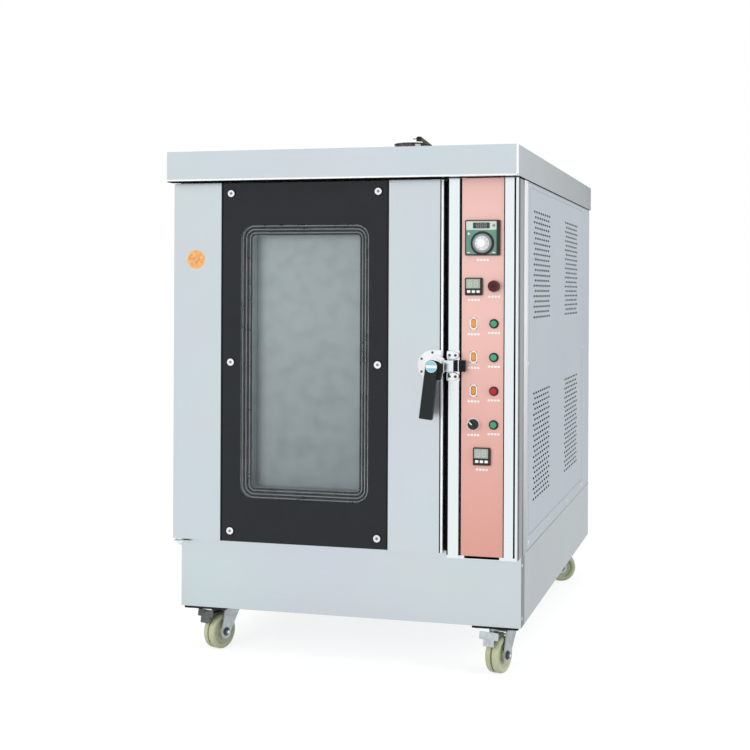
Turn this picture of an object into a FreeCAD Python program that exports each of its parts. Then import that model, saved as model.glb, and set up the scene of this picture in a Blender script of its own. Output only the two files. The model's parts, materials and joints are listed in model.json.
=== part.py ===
import FreeCAD, Part
import math
import os

os.makedirs("parts", exist_ok=True)

# Lengths are millimetres. x runs to the right, y to the rear, z up from the floor.
# In the functions below y is counted from the door's face, and the whole oven is
# centred on the plan of its own box.

# Cabinet
cabinet_width = 1000.0       # across the side sheets
cabinet_depth = 1600.0       # from the door's face to the rear sheet
plinth_height = 195.0
body_height = 1034.0         # from the plinth's top to the cap's underside
cap_height = 84.0
cap_front = 40.0             # the cap stands this far ahead of the door's face
cap_side = 6.0               # and this far out of each side sheet
cap_bend = 3.0               # outer bend radius of the cap
sheet = 1.5                  # casing sheet
front_setback = 65.0         # front frame and plinth stand behind the door's face
frame_depth = 20.0           # front frame, front to back
tube_side = 40.0             # square tube of the base frame
tube_wall = 2.5
pad_length = 160.0           # pad over each caster, across and along the cabinet
pad_width = 165.0
pad_thick = 5.0
plinth_flange = 25.0         # return of the plinth's front sheet along each side
plinth_clip_width = 42.0     # clipped corner of the plinth beside the hinge nut
plinth_clip_height = 11.0
seam = 2.0                   # open seam between neighbouring sheets

# Right side sheets and vents
fold_start = 105.0           # side surround starts behind the corner post
vent_panel_front = 186.0
vent_panel_rear = 1391.0
vent_panel_low = 41.0        # its lower edge above the plinth's top
vent_panel_high = 17.0       # its upper edge below the cap
vent_seat = 20.0             # seat strip behind the panel's edge
slot_length = 26.0
slot_height = 6.0
slot_pitch = 42.0            # along a row
row_pitch = 15.2
rows_per_block = 21
slots_per_row = 8
vent_front_inset = 75.0      # panel edge to the first slot's front end
vent_column_pitch = 662.0    # front column to rear column
vent_low_inset = 87.0        # panel's lower edge to the lowest row
vent_block_pitch = 523.0     # lower block to upper block
vent_margin = 12.0           # punched field round the slots of a block
vent_columns = 2
vent_blocks = 2
screw_head = 5.0
screw_rise = 2.0
screw_taper = 0.6
side_screws = 4              # along the upper and lower edges of the vent panel

# Rear sheet
rear_cover_width = 460.0
rear_cover_height = 420.0
rear_slot_rows = 8
rear_slot_pitch = 24.0
rear_slot_length = 120.0
rear_slot_offset = 90.0      # slot middles each side of the cover's middle
rear_slot_height = 8.0
rear_screw_inset = 15.0

# Door
door_thick = 60.0
door_low_gap = 12.0          # above the plinth's top
door_high_gap = 4.0          # below the cap
door_edge = 4.0              # bend radius of the door's outer edges
left_strip = 146.0
right_strip = 153.5
glass_thick = 6.0
glass_recess = 1.0
window_left = 60.4           # glass edge to the window, each side
window_right = 57.3
window_low = 124.0
window_high = 120.0
window_corner = 30.0
window_steps = 3
step_width = 12.0
step_depth = 7.0
inner_glass_thick = 4.0
inner_glass_lap = 10.0
stud_side = 30.5
stud_end = 30.0
stud_shank = 5.0
stud_head = 10.5
stud_washer = 13.0
washer_thick = 1.5
stud_rise = 4.0
stud_bevel = 1.0
gasket_width = 22.0
gasket_inset = 35.0          # mouth edge to the gasket's middle line
gasket_lip = 10.5            # lip on the door's free edge
gasket_lip_depth = 30.0
soft_gap = 0.3               # soft or sliding faces of different bodies
run_gap = 0.05               # radial clearance of a turning shaft

# Hinges of the door
pin_inset = 15.0             # pin axis from the door's left edge
pin_depth = 22.0             # pin axis behind the door's face
pin_radius = 6.0
pin_engage = 25.0
hinge_block = 30.0
bracket_width = 44.0
bracket_thick = 4.0
bracket_drop = 5.0           # bracket's top below the door
bracket_front = 8.0
bearing_radius = 11.0
nut_radius = 9.0
nut_height = 6.0
dome_radius = 7.0

# Latch, handle and keeper
latch_inset = 15.0           # spindle from the door's free edge
latch_rise = 2.0             # spindle above the door's middle
rose_radius = 42.0
rose_offset = 13.5           # rose's centre beside the spindle
rose_thick = 4.0
rose_screws = 4
rose_screw_ring = 35.0
rose_screw_head = 3.5
rose_screw_start = 90.0      # degrees
rose_screw_step = 60.0
latch_barrel = 24.0
latch_depth = 42.0
guide_depth = 31.0
guide_wall = 5.0
guide_overhang = 9.0         # guide stands past the door's edge
spindle_radius = 8.0
spindle_engage = 12.0
bolt_front = 27.0            # bolt's front and rear faces ahead of the door's face
bolt_back = 7.0
bolt_height = 31.0
bolt_length = 50.0
bolt_reach = 34.5            # bolt's end past the door's edge
bolt_travel = 14.0
bolt_nose = 2.0              # rounding of the bolt's end
lever_neck = 12.0
lever_thick = 22.0
lever_width = 34.0
lever_length = 143.0
lever_lean = 7.0             # degrees from plumb
lever_hub = 19.0
lever_edge = 4.0
hub_disc = 13.0
hub_disc_thick = 1.0
keeper_plate = 3.0
keeper_lobe = 12.0
keeper_lobe_height = 26.0
keeper_screw = 3.5
keeper_screw_inset = 8.5
keeper_bend = 4.0
pad_clear = 0.5              # bolt's end to the keeper's pad
keeper_pad_depth = 10.0
keeper_pad_length = 29.0

# Control column
jamb_gap = 12.5              # door's free edge to the jamb
jamb_width = 34.0
panel_reveal_left = 4.0
panel_width = 116.0
panel_reveal_right = 3.0
post_width = 37.0
post_depth = 103.0
post_bend = 6.0
panel_set = 3.0              # panel's face behind the column's face
panel_thick = 2.0
panel_low_gap = 8.0
panel_high_gap = 2.0
seat_width = 10.0
left_column = -24.0          # control columns from the panel's middle
right_column = 31.5
cut_gap = 0.4                # cut-outs round the controls

# Controls, heights counted down from the cap's underside
controller_drop = 164.0
controller_side = 96.0
controller_rise = 8.0
controller_body = 91.0
controller_depth = 80.0
dial_drop = 15.0             # dial centre below the controller's centre
dial_radius = 29.0
dial_thick = 5.0
dial_knob = 13.0
dial_knob_length = 12.0
dial_spindle = 3.0
spindle_length = 10.0
upper_timer_drop = 296.0
lower_timer_drop = 755.0
timer_side = 48.0
timer_rise = 7.0
timer_body = 44.0
timer_depth = 72.0
button_width = 9.0
button_height = 7.0
button_pitch = 13.0
button_drop = 13.5           # button row below the timer's centre
button_rise = 1.5
button_bevel = 0.4
button_depth = 4.0
button_travel = 1.2
buttons_per_timer = 3
first_row_drop = 396.0
control_row_pitch = 91.0
switch_rows = 3
frame_width = 21.0           # white frame of a rocker
frame_height = 34.0
frame_rise = 3.0
switch_depth = 22.0
switch_wall = 2.5
rocker_width = 12.0
rocker_half = 11.5
rocker_side_gap = 0.4
rocker_front = 7.5           # key's ends ahead of its pivot
rocker_middle = 5.5
rocker_back = 3.0
rocker_pivot = 4.0           # pivot behind the panel's face
rocker_tilt = 7.0            # degrees each way
rocker_end_gap = 1.2
trunnion = 2.0
trunnion_length = 1.5
selector_ring = 17.0
selector_ring_rise = 2.0
selector_body = 11.0
selector_depth = 40.0
selector_radius = 15.0
selector_length = 14.0
selector_fin = 5.0
selector_fin_rise = 6.0
selector_rest = 45.0         # degrees, fin's lean to the left at rest
lamp_body = 8.0
lamp_depth = 35.0
lamp_flange = 13.0
lamp_flange_rise = 3.0
lamp_lens = 9.5
lamp_lens_rise = 8.0
buzzer_drop = 295.0
buzzer_flange = 16.0
buzzer_lens = 13.5
buzzer_rise = 20.0
lens_edge = 2.5

# Oven chamber
mouth_left = 117.0           # door's left edge to the mouth
mouth_right = 116.5          # mouth to the door's free edge
mouth_low = 142.0            # above the plinth's top
mouth_high = 132.0           # below the cap
tray_space = 745.0           # front frame to baffle
fan_space = 128.0            # baffle to the liner's back
side_wool = 80.0             # wool between chamber and control compartment
back_wool = 76.0
baffle_side_gap = 30.0
baffle_slots = 24
baffle_slot_width = 9.0
baffle_slot_inner = 50.0
baffle_slot_outer = 115.0
standoff = 8.0
rack_levels = 8
rack_end_gap = 45.0
rack_upright = 3.0
rack_upright_width = 20.0
rack_front = 60.0            # mouth to the runners
rack_rear = 40.0             # runners to the baffle
runner_width = 28.0
runner_lip = 18.0
runner_sheet = 1.5

# Fan, heaters, motor
fan_radius = 150.0
fan_blade_inner = 80.0
fan_blades = 8
fan_blade_width = 50.0
fan_plate = 2.0
fan_hub = 25.0
fan_set = 20.0               # baffle to the blades
shaft_radius = 10.0
shaft_engage = 40.0
shaft_hole = 12.0
ring_count = 3
ring_radius = 175.0
ring_pitch = 20.0
ring_tube = 4.5
ring_set = 45.0              # baffle to the rings
ring_leg = 6.0               # sleeve that carries each end of a ring
ring_foot = 9.0
ring_foot_thick = 3.0
ring_leg_angle = 18.0        # degrees each side of the top
motor_radius = 75.0
motor_length = 200.0
motor_plate = 4.0
motor_plate_side = 260.0

# Steam pipe and water inlet
steam_side_inset = 40.0      # pipe run from the chamber's right wall
steam_top_inset = 120.0      # and below its roof
steam_pipe = 6.0
steam_elbow = 8.0
steam_set = 10.0             # baffle to the nozzle run
nozzle_gap = 60.0            # nozzle's end from the fan's axis
valve_side = 60.0
valve_length = 50.0
inlet_radius = 10.5          # half-inch pipe thread
inlet_length = 32.0
inlet_bore = 5.0
inlet_nut = 16.0
inlet_nut_length = 12.0

# Electric supply and switch gear
gear_front = 480.0
gear_length = 520.0
gear_low = 300.0             # above the plinth's top
gear_height = 480.0
gear_plate = 2.0
gear_rows = 2
gear_units = 5
gear_unit_width = 62.0
gear_unit_height = 90.0
gear_unit_depth = 75.0
gear_rail = 8.0
gear_rail_height = 35.0
gland_radius = 17.0
gland_length = 26.0
gland_bore = 9.0
gland_flange = 22.0
gland_flange_thick = 6.0
gland_right = 130.0          # gland axis from the right side sheet
gland_up = 150.0             # above the plinth's top

# Flue
flue_radius = 60.0
flue_wall = 2.0
flue_height = 100.0          # above the cap
flue_behind = 830.0          # axis behind the door's face
flue_collar = 84.0
flue_collar_thick = 2.0
damper_gap = 2.0
damper_thick = 2.0
damper_axis_drop = 10.0      # damper shaft below the rim
damper_shaft = 4.0
damper_arm_out = 4.0
damper_arm_thick = 3.0
damper_arm_width = 5.0
damper_arm_rise = 20.0       # arm clears the rim when the damper turns
damper_peak_rise = 32.0
damper_peak_in = 45.0
damper_tab_width = 16.0      # thumb tab at the arm's end
damper_tab_height = 14.0
damper_tab_rise = 34.0       # its top above the shaft

# Casters
caster_height = 133.0
wheel_radius = 51.0
wheel_width = 40.0
wheel_hub_width = 47.0
wheel_hub = 14.0
wheel_edge = 5.0
wheel_groove = 5.0
wheel_groove_depth = 2.0
wheel_dish = 34.0
wheel_dish_depth = 4.0
trail = 35.0
plate_length = 128.0
plate_width = 137.0
plate_thick = 7.0
plate_side = 9.0             # plate's edge from the plinth's side
plate_front = 3.0            # front plate's edge behind the plinth's face
plate_rear = 236.0           # rear plate's centre from the rear sheet
race_radius = 30.0
race_height = 7.0
king_pin = 6.0
king_head = 9.0
king_head_height = 3.2
fork_thick = 4.0
fork_leg = 3.0
fork_gap = 48.0              # between the legs
fork_front = 38.0
fork_back = 22.0
fork_foot = 16.0
axle_radius = 6.0
axle_head = 10.0
axle_head_height = 9.0
plate_bolt = 6.5
plate_bolt_height = 2.0
plate_bolt_inset = 12.0
pedal_pin = 2.5
pedal_sleeve = 4.5
pedal_pin_front = 34.0
pedal_pin_up = 57.0          # above the axle
pedal_arm = 15.0             # half widths of the pedal's arm, tread and toe
pedal_half = 26.0
pedal_toe = 15.0
pedal_lift = 14.5            # tread's upper edge above the pin
pedal_start = 93.0           # and ahead of the swivel
pedal_end = 99.0             # toe's edge ahead of the swivel
pedal_drop = 38.5            # and below the tread's upper edge
pedal_tread = 17.7           # tread's length down the slope
pedal_thick = 3.0
headings = {"front_left": -20.0, "front_right": -15.0, "rear_left": 35.0, "rear_right": 100.0}
# Swivel axes across and along from their plates' centres
swivel_offsets = {"front_left": (32.5, 27.0), "front_right": (14.5, -2.0), "rear_left": (31.5, 0.0),
                  "rear_right": (-31.5, 0.0)}
braked = ("front_left", "front_right")

# Places worked out from the sizes
half_width = cabinet_width / 2
plinth_top = caster_height + plinth_height
cap_bottom = plinth_top + body_height
cap_top = cap_bottom + cap_height
handle_reach = latch_depth + lever_neck + lever_thick + hub_disc_thick
rear_reach = inlet_nut_length + inlet_length
face_y = handle_reach - (handle_reach + cabinet_depth + rear_reach) / 2

column_width = jamb_width + panel_reveal_left + panel_width + panel_reveal_right + post_width
jamb_x = half_width - column_width
panel_x = jamb_x + jamb_width + panel_reveal_left
post_x = half_width - post_width
panel_mid = panel_x + panel_width / 2

door_left = -half_width
door_right = jamb_x - jamb_gap
door_low = plinth_top + door_low_gap
door_high = cap_bottom - door_high_gap
door_mid_z = (door_low + door_high) / 2
glass_left = door_left + left_strip
glass_right = door_right - right_strip
glass_back = glass_recess + glass_thick
hole_left = glass_left + window_left
hole_right = glass_right - window_right
hole_low = door_low + window_low
hole_high = door_high - window_high
pan_front = door_thick - sheet
pin_x = door_left + pin_inset
latch_x = door_right - latch_inset
latch_z = door_mid_z + latch_rise

chamber_left = door_left + mouth_left
chamber_right = door_right - mouth_right
chamber_low = plinth_top + mouth_low
chamber_high = cap_bottom - mouth_high
chamber_x = (chamber_left + chamber_right) / 2
chamber_z = (chamber_low + chamber_high) / 2
chamber_front = front_setback + frame_depth
baffle_y = front_setback + tray_space
liner_back = baffle_y + fan_space
wool_back = liner_back + sheet + back_wool
steam_x = chamber_right - steam_side_inset
steam_z = chamber_high - steam_top_inset
wool_right = chamber_right + sheet + side_wool

flue_top = cap_top + flue_height
damper_z = flue_top - damper_axis_drop
rocker_opening = rocker_half + rocker_end_gap
row_drops = [first_row_drop + row * control_row_pitch for row in range(switch_rows + 1)]

V = FreeCAD.Vector
ALONG_X = V(1, 0, 0)
ALONG_Y = V(0, 1, 0)
ALONG_Z = V(0, 0, 1)
full_turn = 360.0
quarter_turn = 90.0
same_place = 0.001


def box(x0, x1, y0, y1, z0, z1):
    """A block between six planes."""
    return Part.makeBox(x1 - x0, y1 - y0, z1 - z0, V(x0, face_y + y0, z0))


def rod_x(x0, x1, y, z, radius):
    return Part.makeCylinder(radius, x1 - x0, V(x0, face_y + y, z), ALONG_X)


def rod_y(y0, y1, x, z, radius):
    return Part.makeCylinder(radius, y1 - y0, V(x, face_y + y0, z), ALONG_Y)


def rod_z(z0, z1, x, y, radius):
    return Part.makeCylinder(radius, z1 - z0, V(x, face_y + y, z0), ALONG_Z)


def join(*solids):
    """Solids that are one piece of material."""
    return solids[0].multiFuse(list(solids[1:])).removeSplitter()


def group(*solids):
    """Separate solids that share a node."""
    return Part.Compound([one for shape in solids for one in shape.Solids])


def edges_at(solid, x=None, y=None, z=None):
    """The edges of a solid that lie wholly at the given coordinates."""
    wanted = [("x", x), ("y", None if y is None else face_y + y), ("z", z)]
    wanted = [(axis, value) for axis, value in wanted if value is not None]

    def lies_there(edge):
        return all(abs(getattr(vertex.Point, axis) - value) < same_place
                   for axis, value in wanted for vertex in edge.Vertexes)

    return [edge for edge in solid.Edges if lies_there(edge)]


def slot_wire(place, along, across, length, height):
    """The outline of a round-ended slot about a point, in the plane of two directions."""
    radius = height / 2
    run = length / 2 - radius
    start_low = place - along * run - across * radius
    end_low = place + along * run - across * radius
    end_tip = place + along * (run + radius)
    end_high = place + along * run + across * radius
    start_high = place - along * run + across * radius
    start_tip = place - along * (run + radius)
    return Part.Wire([Part.LineSegment(start_low, end_low).toShape(),
                      Part.Arc(end_low, end_tip, end_high).toShape(),
                      Part.LineSegment(end_high, start_high).toShape(),
                      Part.Arc(start_high, start_tip, start_low).toShape()])


def rectangle_y(x0, x1, z0, z1, y, corner):
    """A rectangle with round corners that faces the front."""
    flat = box(x0, x1, y, y + sheet, z0, z1)
    rounded = flat.makeFillet(corner, [edge for edge in flat.Edges
                                       if abs(edge.tangentAt(edge.FirstParameter).y) > same_place])
    fronts = [face for face in rounded.Faces if abs(face.CenterOfMass.y - face_y - y) < same_place]
    return fronts[0].OuterWire


def plate_y(outline, holes, thick):
    """A flat plate facing the front, with holes, made from outlines."""
    return Part.makeFace([outline] + holes, "Part::FaceMakerBullseye").extrude(ALONG_Y * thick)


def hollow_bar(x0, x1, y0, y1, z0, z1, along):
    """A length of square tube."""
    grow = {axis: 0.0 if axis == along else tube_wall for axis in "xyz"}
    bore = box(x0 + grow["x"], x1 - grow["x"], y0 + grow["y"], y1 - grow["y"], z0 + grow["z"],
               z1 - grow["z"])
    return box(x0, x1, y0, y1, z0, z1).cut(bore)


def base_frame():
    outer = half_width - sheet
    inner = outer - tube_side
    front = front_setback + sheet
    rear = cabinet_depth - sheet
    low = caster_height + pad_thick
    high = low + tube_side
    middle = (front + rear - tube_side) / 2
    bars = [hollow_bar(-outer, -inner, front, rear, low, high, "y"),
            hollow_bar(inner, outer, front, rear, low, high, "y")]
    for start in (front, middle, rear - tube_side):
        bars.append(hollow_bar(-inner, inner, start, start + tube_side, low, high, "x"))
    for x in (-outer, outer - pad_length):
        for y in (front, cabinet_depth - plate_rear - pad_width / 2):
            bars.append(box(x, x + pad_length, y, y + pad_width, caster_height, low))
    return group(*bars)


def plinth():
    front = box(-half_width, half_width, front_setback, front_setback + sheet, caster_height, plinth_top)
    flange_end = front_setback + plinth_flange
    flanges = [box(x, x + sheet, front_setback, flange_end, caster_height, plinth_top)
               for x in (-half_width, half_width - sheet)]
    face = join(front, *flanges)
    clip = Part.makePolygon([V(-half_width, face_y, plinth_top - plinth_clip_height),
                             V(-half_width, face_y, plinth_top),
                             V(-half_width + plinth_clip_width, face_y, plinth_top),
                             V(-half_width, face_y, plinth_top - plinth_clip_height)])
    face = face.cut(Part.Face(clip).extrude(ALONG_Y * (front_setback + sheet)))
    side_front = flange_end + seam
    sides = [box(x, x + sheet, side_front, cabinet_depth, caster_height, plinth_top)
             for x in (-half_width, half_width - sheet)]
    rear = box(-half_width + sheet, half_width - sheet, cabinet_depth - sheet, cabinet_depth,
               caster_height, plinth_top)
    deck = box(-half_width + sheet, half_width - sheet, front_setback + sheet, cabinet_depth - sheet,
               plinth_top - sheet, plinth_top)
    return group(face, *sides, rear, deck)


def left_panel():
    return box(-half_width, -half_width + sheet, front_setback, cabinet_depth, plinth_top, cap_bottom)


def vent_block(column, block):
    """Lower front corner of one block of vent slots, and its length and height."""
    y = vent_panel_front + vent_front_inset + column * vent_column_pitch
    z = plinth_top + vent_panel_low + vent_low_inset + block * vent_block_pitch
    return y, z, (slots_per_row - 1) * slot_pitch + slot_length, (rows_per_block - 1) * row_pitch


def vent_field(x, column, block, margin):
    """The sheet of one vent block, punched with staggered rows of slots."""
    start, low, length, height = vent_block(column, block)
    y0, y1 = face_y + start - margin, face_y + start + length + margin
    z0, z1 = low - slot_height / 2 - margin, low + height + slot_height / 2 + margin
    outline = Part.makePolygon([V(x, y0, z0), V(x, y1, z0), V(x, y1, z1), V(x, y0, z1), V(x, y0, z0)])
    slots = []
    for row in range(rows_per_block):
        stagger = row % 2
        for slot in range(slots_per_row - stagger):
            y = start + slot_length / 2 + (slot + stagger / 2) * slot_pitch
            place = V(x, face_y + y, low + row * row_pitch)
            slots.append(slot_wire(place, -ALONG_Y, ALONG_Z, slot_length, slot_height))
    return Part.Face([outline] + slots).extrude(ALONG_X * sheet)


def right_panel():
    inner = half_width - sheet
    low = plinth_top + vent_panel_low
    high = cap_bottom - vent_panel_high
    front = vent_panel_front
    rear = vent_panel_rear
    strips = [box(inner, half_width, fold_start, front - seam, plinth_top, cap_bottom),
              box(inner, half_width, rear + seam, cabinet_depth, plinth_top, cap_bottom),
              box(inner, half_width, front - seam, rear + seam, plinth_top, low - seam),
              box(inner, half_width, front - seam, rear + seam, high + seam, cap_bottom)]
    seats = [box(inner - sheet, inner, front - vent_seat, front + vent_seat, plinth_top, cap_bottom),
             box(inner - sheet, inner, rear - vent_seat, rear + vent_seat, plinth_top, cap_bottom),
             box(inner - sheet, inner, front + vent_seat, rear - vent_seat, plinth_top, low + vent_seat),
             box(inner - sheet, inner, front + vent_seat, rear - vent_seat, high - vent_seat, cap_bottom)]
    panel = box(inner, half_width, front, rear, low, high)
    fields = [vent_field(inner, column, block, vent_margin) for column in range(vent_columns)
              for block in range(vent_blocks)]
    windows = []
    for field in fields:
        edge = field.BoundBox
        windows.append(Part.makeBox(sheet, edge.YLength, edge.ZLength, V(inner, edge.YMin, edge.ZMin)))
    return group(*strips, *seats, panel.cut(windows), *fields)


def rear_panel():
    outer = cabinet_depth
    panel = box(-half_width + sheet, half_width - sheet, outer - sheet, outer, plinth_top, cap_bottom)
    cover = box(chamber_x - rear_cover_width / 2, chamber_x + rear_cover_width / 2, outer, outer + sheet,
                chamber_z - rear_cover_height / 2, chamber_z + rear_cover_height / 2)
    slots = []
    for column in (-1, 1):
        for row in range(rear_slot_rows):
            place = V(chamber_x + column * rear_slot_offset, face_y + outer - sheet,
                      chamber_z + (row - (rear_slot_rows - 1) / 2) * rear_slot_pitch)
            outline = slot_wire(place, ALONG_X, ALONG_Z, rear_slot_length, rear_slot_height)
            slots.append(Part.Face(outline).extrude(ALONG_Y * (2 * sheet)))
    inlet = rod_y(outer - sheet, outer, steam_x, steam_z, inlet_radius + cut_gap)
    supply = rod_y(outer - sheet, outer, half_width - gland_right, plinth_top + gland_up,
                   gland_bore + cut_gap)
    return group(panel.cut(slots + [inlet, supply]), cover.cut(slots))


def top_cap():
    outer = box(-half_width - cap_side, half_width + cap_side, -cap_front, cabinet_depth, cap_bottom,
                cap_top)
    bends = [edge for edge in outer.Edges if max(vertex.Point.z for vertex in edge.Vertexes) > cap_bottom]
    outer = outer.makeFillet(cap_bend, bends)
    inside = half_width + cap_side - sheet
    room = box(-inside, inside, sheet - cap_front, cabinet_depth - sheet, cap_bottom + sheet,
               cap_top - sheet)
    mouth = box(-inside, inside, chamber_front, cabinet_depth - sheet, cap_bottom, cap_bottom + sheet)
    flue = rod_z(cap_top - sheet, cap_top, 0.0, flue_behind, flue_radius + cut_gap)
    return outer.cut([room, mouth, flue])


def front_frame():
    left = -half_width + sheet
    right = jamb_x + jamb_width
    back = chamber_front
    return group(box(left, chamber_left, front_setback, back, plinth_top, cap_bottom),
                 box(chamber_right, right, front_setback, back, plinth_top, cap_bottom),
                 box(chamber_left, chamber_right, front_setback, back, chamber_high, cap_bottom),
                 box(chamber_left, chamber_right, front_setback, back, plinth_top, chamber_low))


def control_column():
    jamb = box(jamb_x, jamb_x + jamb_width, 0.0, front_setback, plinth_top, cap_bottom)
    jamb = jamb.cut(box(jamb_x + sheet, jamb_x + jamb_width - sheet, sheet, front_setback,
                        plinth_top + sheet, cap_bottom))
    post = box(post_x, half_width, 0.0, post_depth, plinth_top, cap_bottom)
    post = post.makeFillet(post_bend, edges_at(post, x=half_width, y=0.0))
    post_room = box(post_x + sheet, half_width - sheet, sheet, post_depth, plinth_top + sheet, cap_bottom)
    post_room = post_room.makeFillet(post_bend - sheet, edges_at(post_room, x=half_width - sheet, y=sheet))
    post = post.cut(post_room)
    back = panel_set + panel_thick
    left_seat = box(jamb_x + jamb_width, panel_x + seat_width, back, back + sheet, plinth_top + sheet,
                    cap_bottom)
    right_seat = box(post_x - panel_reveal_right - seat_width, post_x, back, back + sheet,
                     plinth_top + sheet, cap_bottom)
    sole = box(jamb_x + jamb_width, post_x, sheet, front_setback, plinth_top, plinth_top + sheet)
    return group(jamb, post, left_seat, right_seat, sole)


def chamber_liner():
    front = chamber_front
    back = liner_back
    left = box(chamber_left - sheet, chamber_left, front, back, chamber_low, chamber_high)
    right = box(chamber_right, chamber_right + sheet, front, back, chamber_low, chamber_high)
    floor = box(chamber_left - sheet, chamber_right + sheet, front, back, chamber_low - sheet, chamber_low)
    roof = box(chamber_left - sheet, chamber_right + sheet, front, back, chamber_high, chamber_high + sheet)
    roof = roof.cut(rod_z(chamber_high, chamber_high + sheet, 0.0, flue_behind, flue_radius - flue_wall))
    rear = box(chamber_left - sheet, chamber_right + sheet, back, back + sheet,
               chamber_low - sheet, chamber_high + sheet)
    shaft = rod_y(back, back + sheet, chamber_x, chamber_z, shaft_hole)
    steam = rod_y(back, back + sheet, steam_x, steam_z, steam_pipe + cut_gap)
    return group(left, right, floor, roof, rear.cut([shaft, steam]))


def chamber_insulation():
    front = chamber_front
    back = liner_back + sheet
    low = chamber_low - sheet
    high = chamber_high + sheet
    outer_left = -half_width + sheet
    ceiling = cap_top - sheet
    left = box(outer_left, chamber_left - sheet, front, back, low, high)
    right = box(chamber_right + sheet, wool_right, front, back, low, high)
    under = box(outer_left, wool_right, front, wool_back, plinth_top, low)
    over = box(outer_left, wool_right, front, wool_back, high, ceiling)
    over = over.cut(rod_z(high, ceiling, 0.0, flue_behind, flue_radius + cut_gap))
    rear = box(outer_left, wool_right, back, wool_back, low, high)
    shaft = rod_y(back, wool_back, chamber_x, chamber_z, shaft_hole)
    steam = rod_y(back, wool_back, steam_x, steam_z, steam_pipe + cut_gap)
    return group(left, right, under, over, rear.cut([shaft, steam]))


def fan_baffle():
    left = chamber_left + baffle_side_gap
    right = chamber_right - baffle_side_gap
    plate = box(left, right, baffle_y, baffle_y + sheet, chamber_low, chamber_high)
    slots = []
    for index in range(baffle_slots):
        reach = baffle_slot_outer - baffle_slot_inner
        slot = box(chamber_x - baffle_slot_width / 2, chamber_x + baffle_slot_width / 2, baffle_y,
                   baffle_y + sheet, chamber_z + baffle_slot_inner, chamber_z + baffle_slot_inner + reach)
        slot.rotate(V(chamber_x, 0, chamber_z), ALONG_Y, index * full_turn / baffle_slots)
        slots.append(slot)
    stays = [box(x, x + standoff, baffle_y + sheet, liner_back, z, z + standoff)
             for x in (left, right - standoff) for z in (chamber_low, chamber_high - standoff)]
    return group(plate.cut(slots), *stays)


def heater_rings():
    y = baffle_y + ring_set
    rings = []
    for index in range(ring_count):
        radius = ring_radius + index * ring_pitch
        centre = V(chamber_x, face_y + y, chamber_z)
        pieces = [Part.makeTorus(radius, ring_tube, centre, ALONG_Y)]
        for side in (-1, 1):
            angle = math.radians(quarter_turn + side * ring_leg_angle)
            x = chamber_x + radius * math.cos(angle)
            z = chamber_z + radius * math.sin(angle)
            pieces.append(rod_y(y - ring_leg, liner_back, x, z, ring_leg))
            pieces.append(rod_y(liner_back - ring_foot_thick, liner_back, x, z, ring_foot))
        rings.append(join(*pieces))
    return group(*rings)


def fan_motor():
    start = wool_back
    side = motor_plate_side / 2
    plate = box(chamber_x - side, chamber_x + side, start, start + motor_plate, chamber_z - side,
                chamber_z + side)
    case = rod_y(start + motor_plate, start + motor_plate + motor_length, chamber_x, chamber_z, motor_radius)
    bore = rod_y(start, start + motor_plate + shaft_engage + soft_gap, chamber_x, chamber_z,
                 shaft_radius + run_gap)
    return join(plate, case).cut(bore)


def fan_wheel():
    front = baffle_y + sheet + fan_set
    back = front + fan_blade_width
    disc = rod_y(back, back + fan_plate, chamber_x, chamber_z, fan_radius)
    hub = rod_y(front, back, chamber_x, chamber_z, fan_hub)
    shaft = rod_y(back, wool_back + motor_plate + shaft_engage, chamber_x, chamber_z, shaft_radius)
    blades = []
    for index in range(fan_blades):
        blade = box(chamber_x + fan_blade_inner, chamber_x + fan_radius, front, back,
                    chamber_z, chamber_z + fan_plate)
        blade.rotate(V(chamber_x, 0, chamber_z), ALONG_Y, index * full_turn / fan_blades)
        blades.append(blade)
    return join(disc, hub, shaft, *blades)


def steam_injector():
    x = steam_x
    z = steam_z
    y = baffle_y + sheet + steam_set
    rear = cabinet_depth
    run = rod_y(y, rear, x, z, steam_pipe)
    elbow = box(x - steam_elbow, x + steam_elbow, y - steam_elbow, y + steam_elbow, z - steam_elbow,
                z + steam_elbow)
    aim = V(chamber_x - x, 0, chamber_z - z)
    nozzle = Part.makeCylinder(steam_pipe, aim.Length - nozzle_gap, V(x, face_y + y, z), aim)
    half = valve_side / 2
    valve = box(x - half, x + half, rear - sheet - valve_length, rear - sheet, z - half, z + half)
    nut = rod_y(rear, rear + inlet_nut_length, x, z, inlet_nut)
    stub = rod_y(rear - sheet, rear + inlet_nut_length + inlet_length, x, z, inlet_radius)
    bore = rod_y(rear + inlet_nut_length, rear + inlet_nut_length + inlet_length, x, z, inlet_bore)
    return join(run, elbow, nozzle, valve, nut, stub).cut(bore)


def tray_racks():
    start = chamber_front + rack_front
    end = baffle_y - rack_rear
    low = chamber_low + rack_end_gap
    level_pitch = (chamber_high - chamber_low - 2 * rack_end_gap) / rack_levels
    pieces = []
    for wall, inward in ((chamber_left, 1), (chamber_right, -1)):
        face = wall + inward * rack_upright
        for y in (start + rack_upright_width, end - 2 * rack_upright_width):
            pieces.append(box(min(wall, face), max(wall, face), y, y + rack_upright_width,
                              chamber_low, chamber_high))
        for level in range(rack_levels):
            z = low + level * level_pitch
            edge = face + inward * runner_width
            lip = face + inward * runner_sheet
            shelf = box(min(face, edge), max(face, edge), start, end, z, z + runner_sheet)
            wall_leg = box(min(face, lip), max(face, lip), start, end, z, z + runner_lip)
            pieces.append(join(shelf, wall_leg))
    return group(*pieces)


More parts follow.
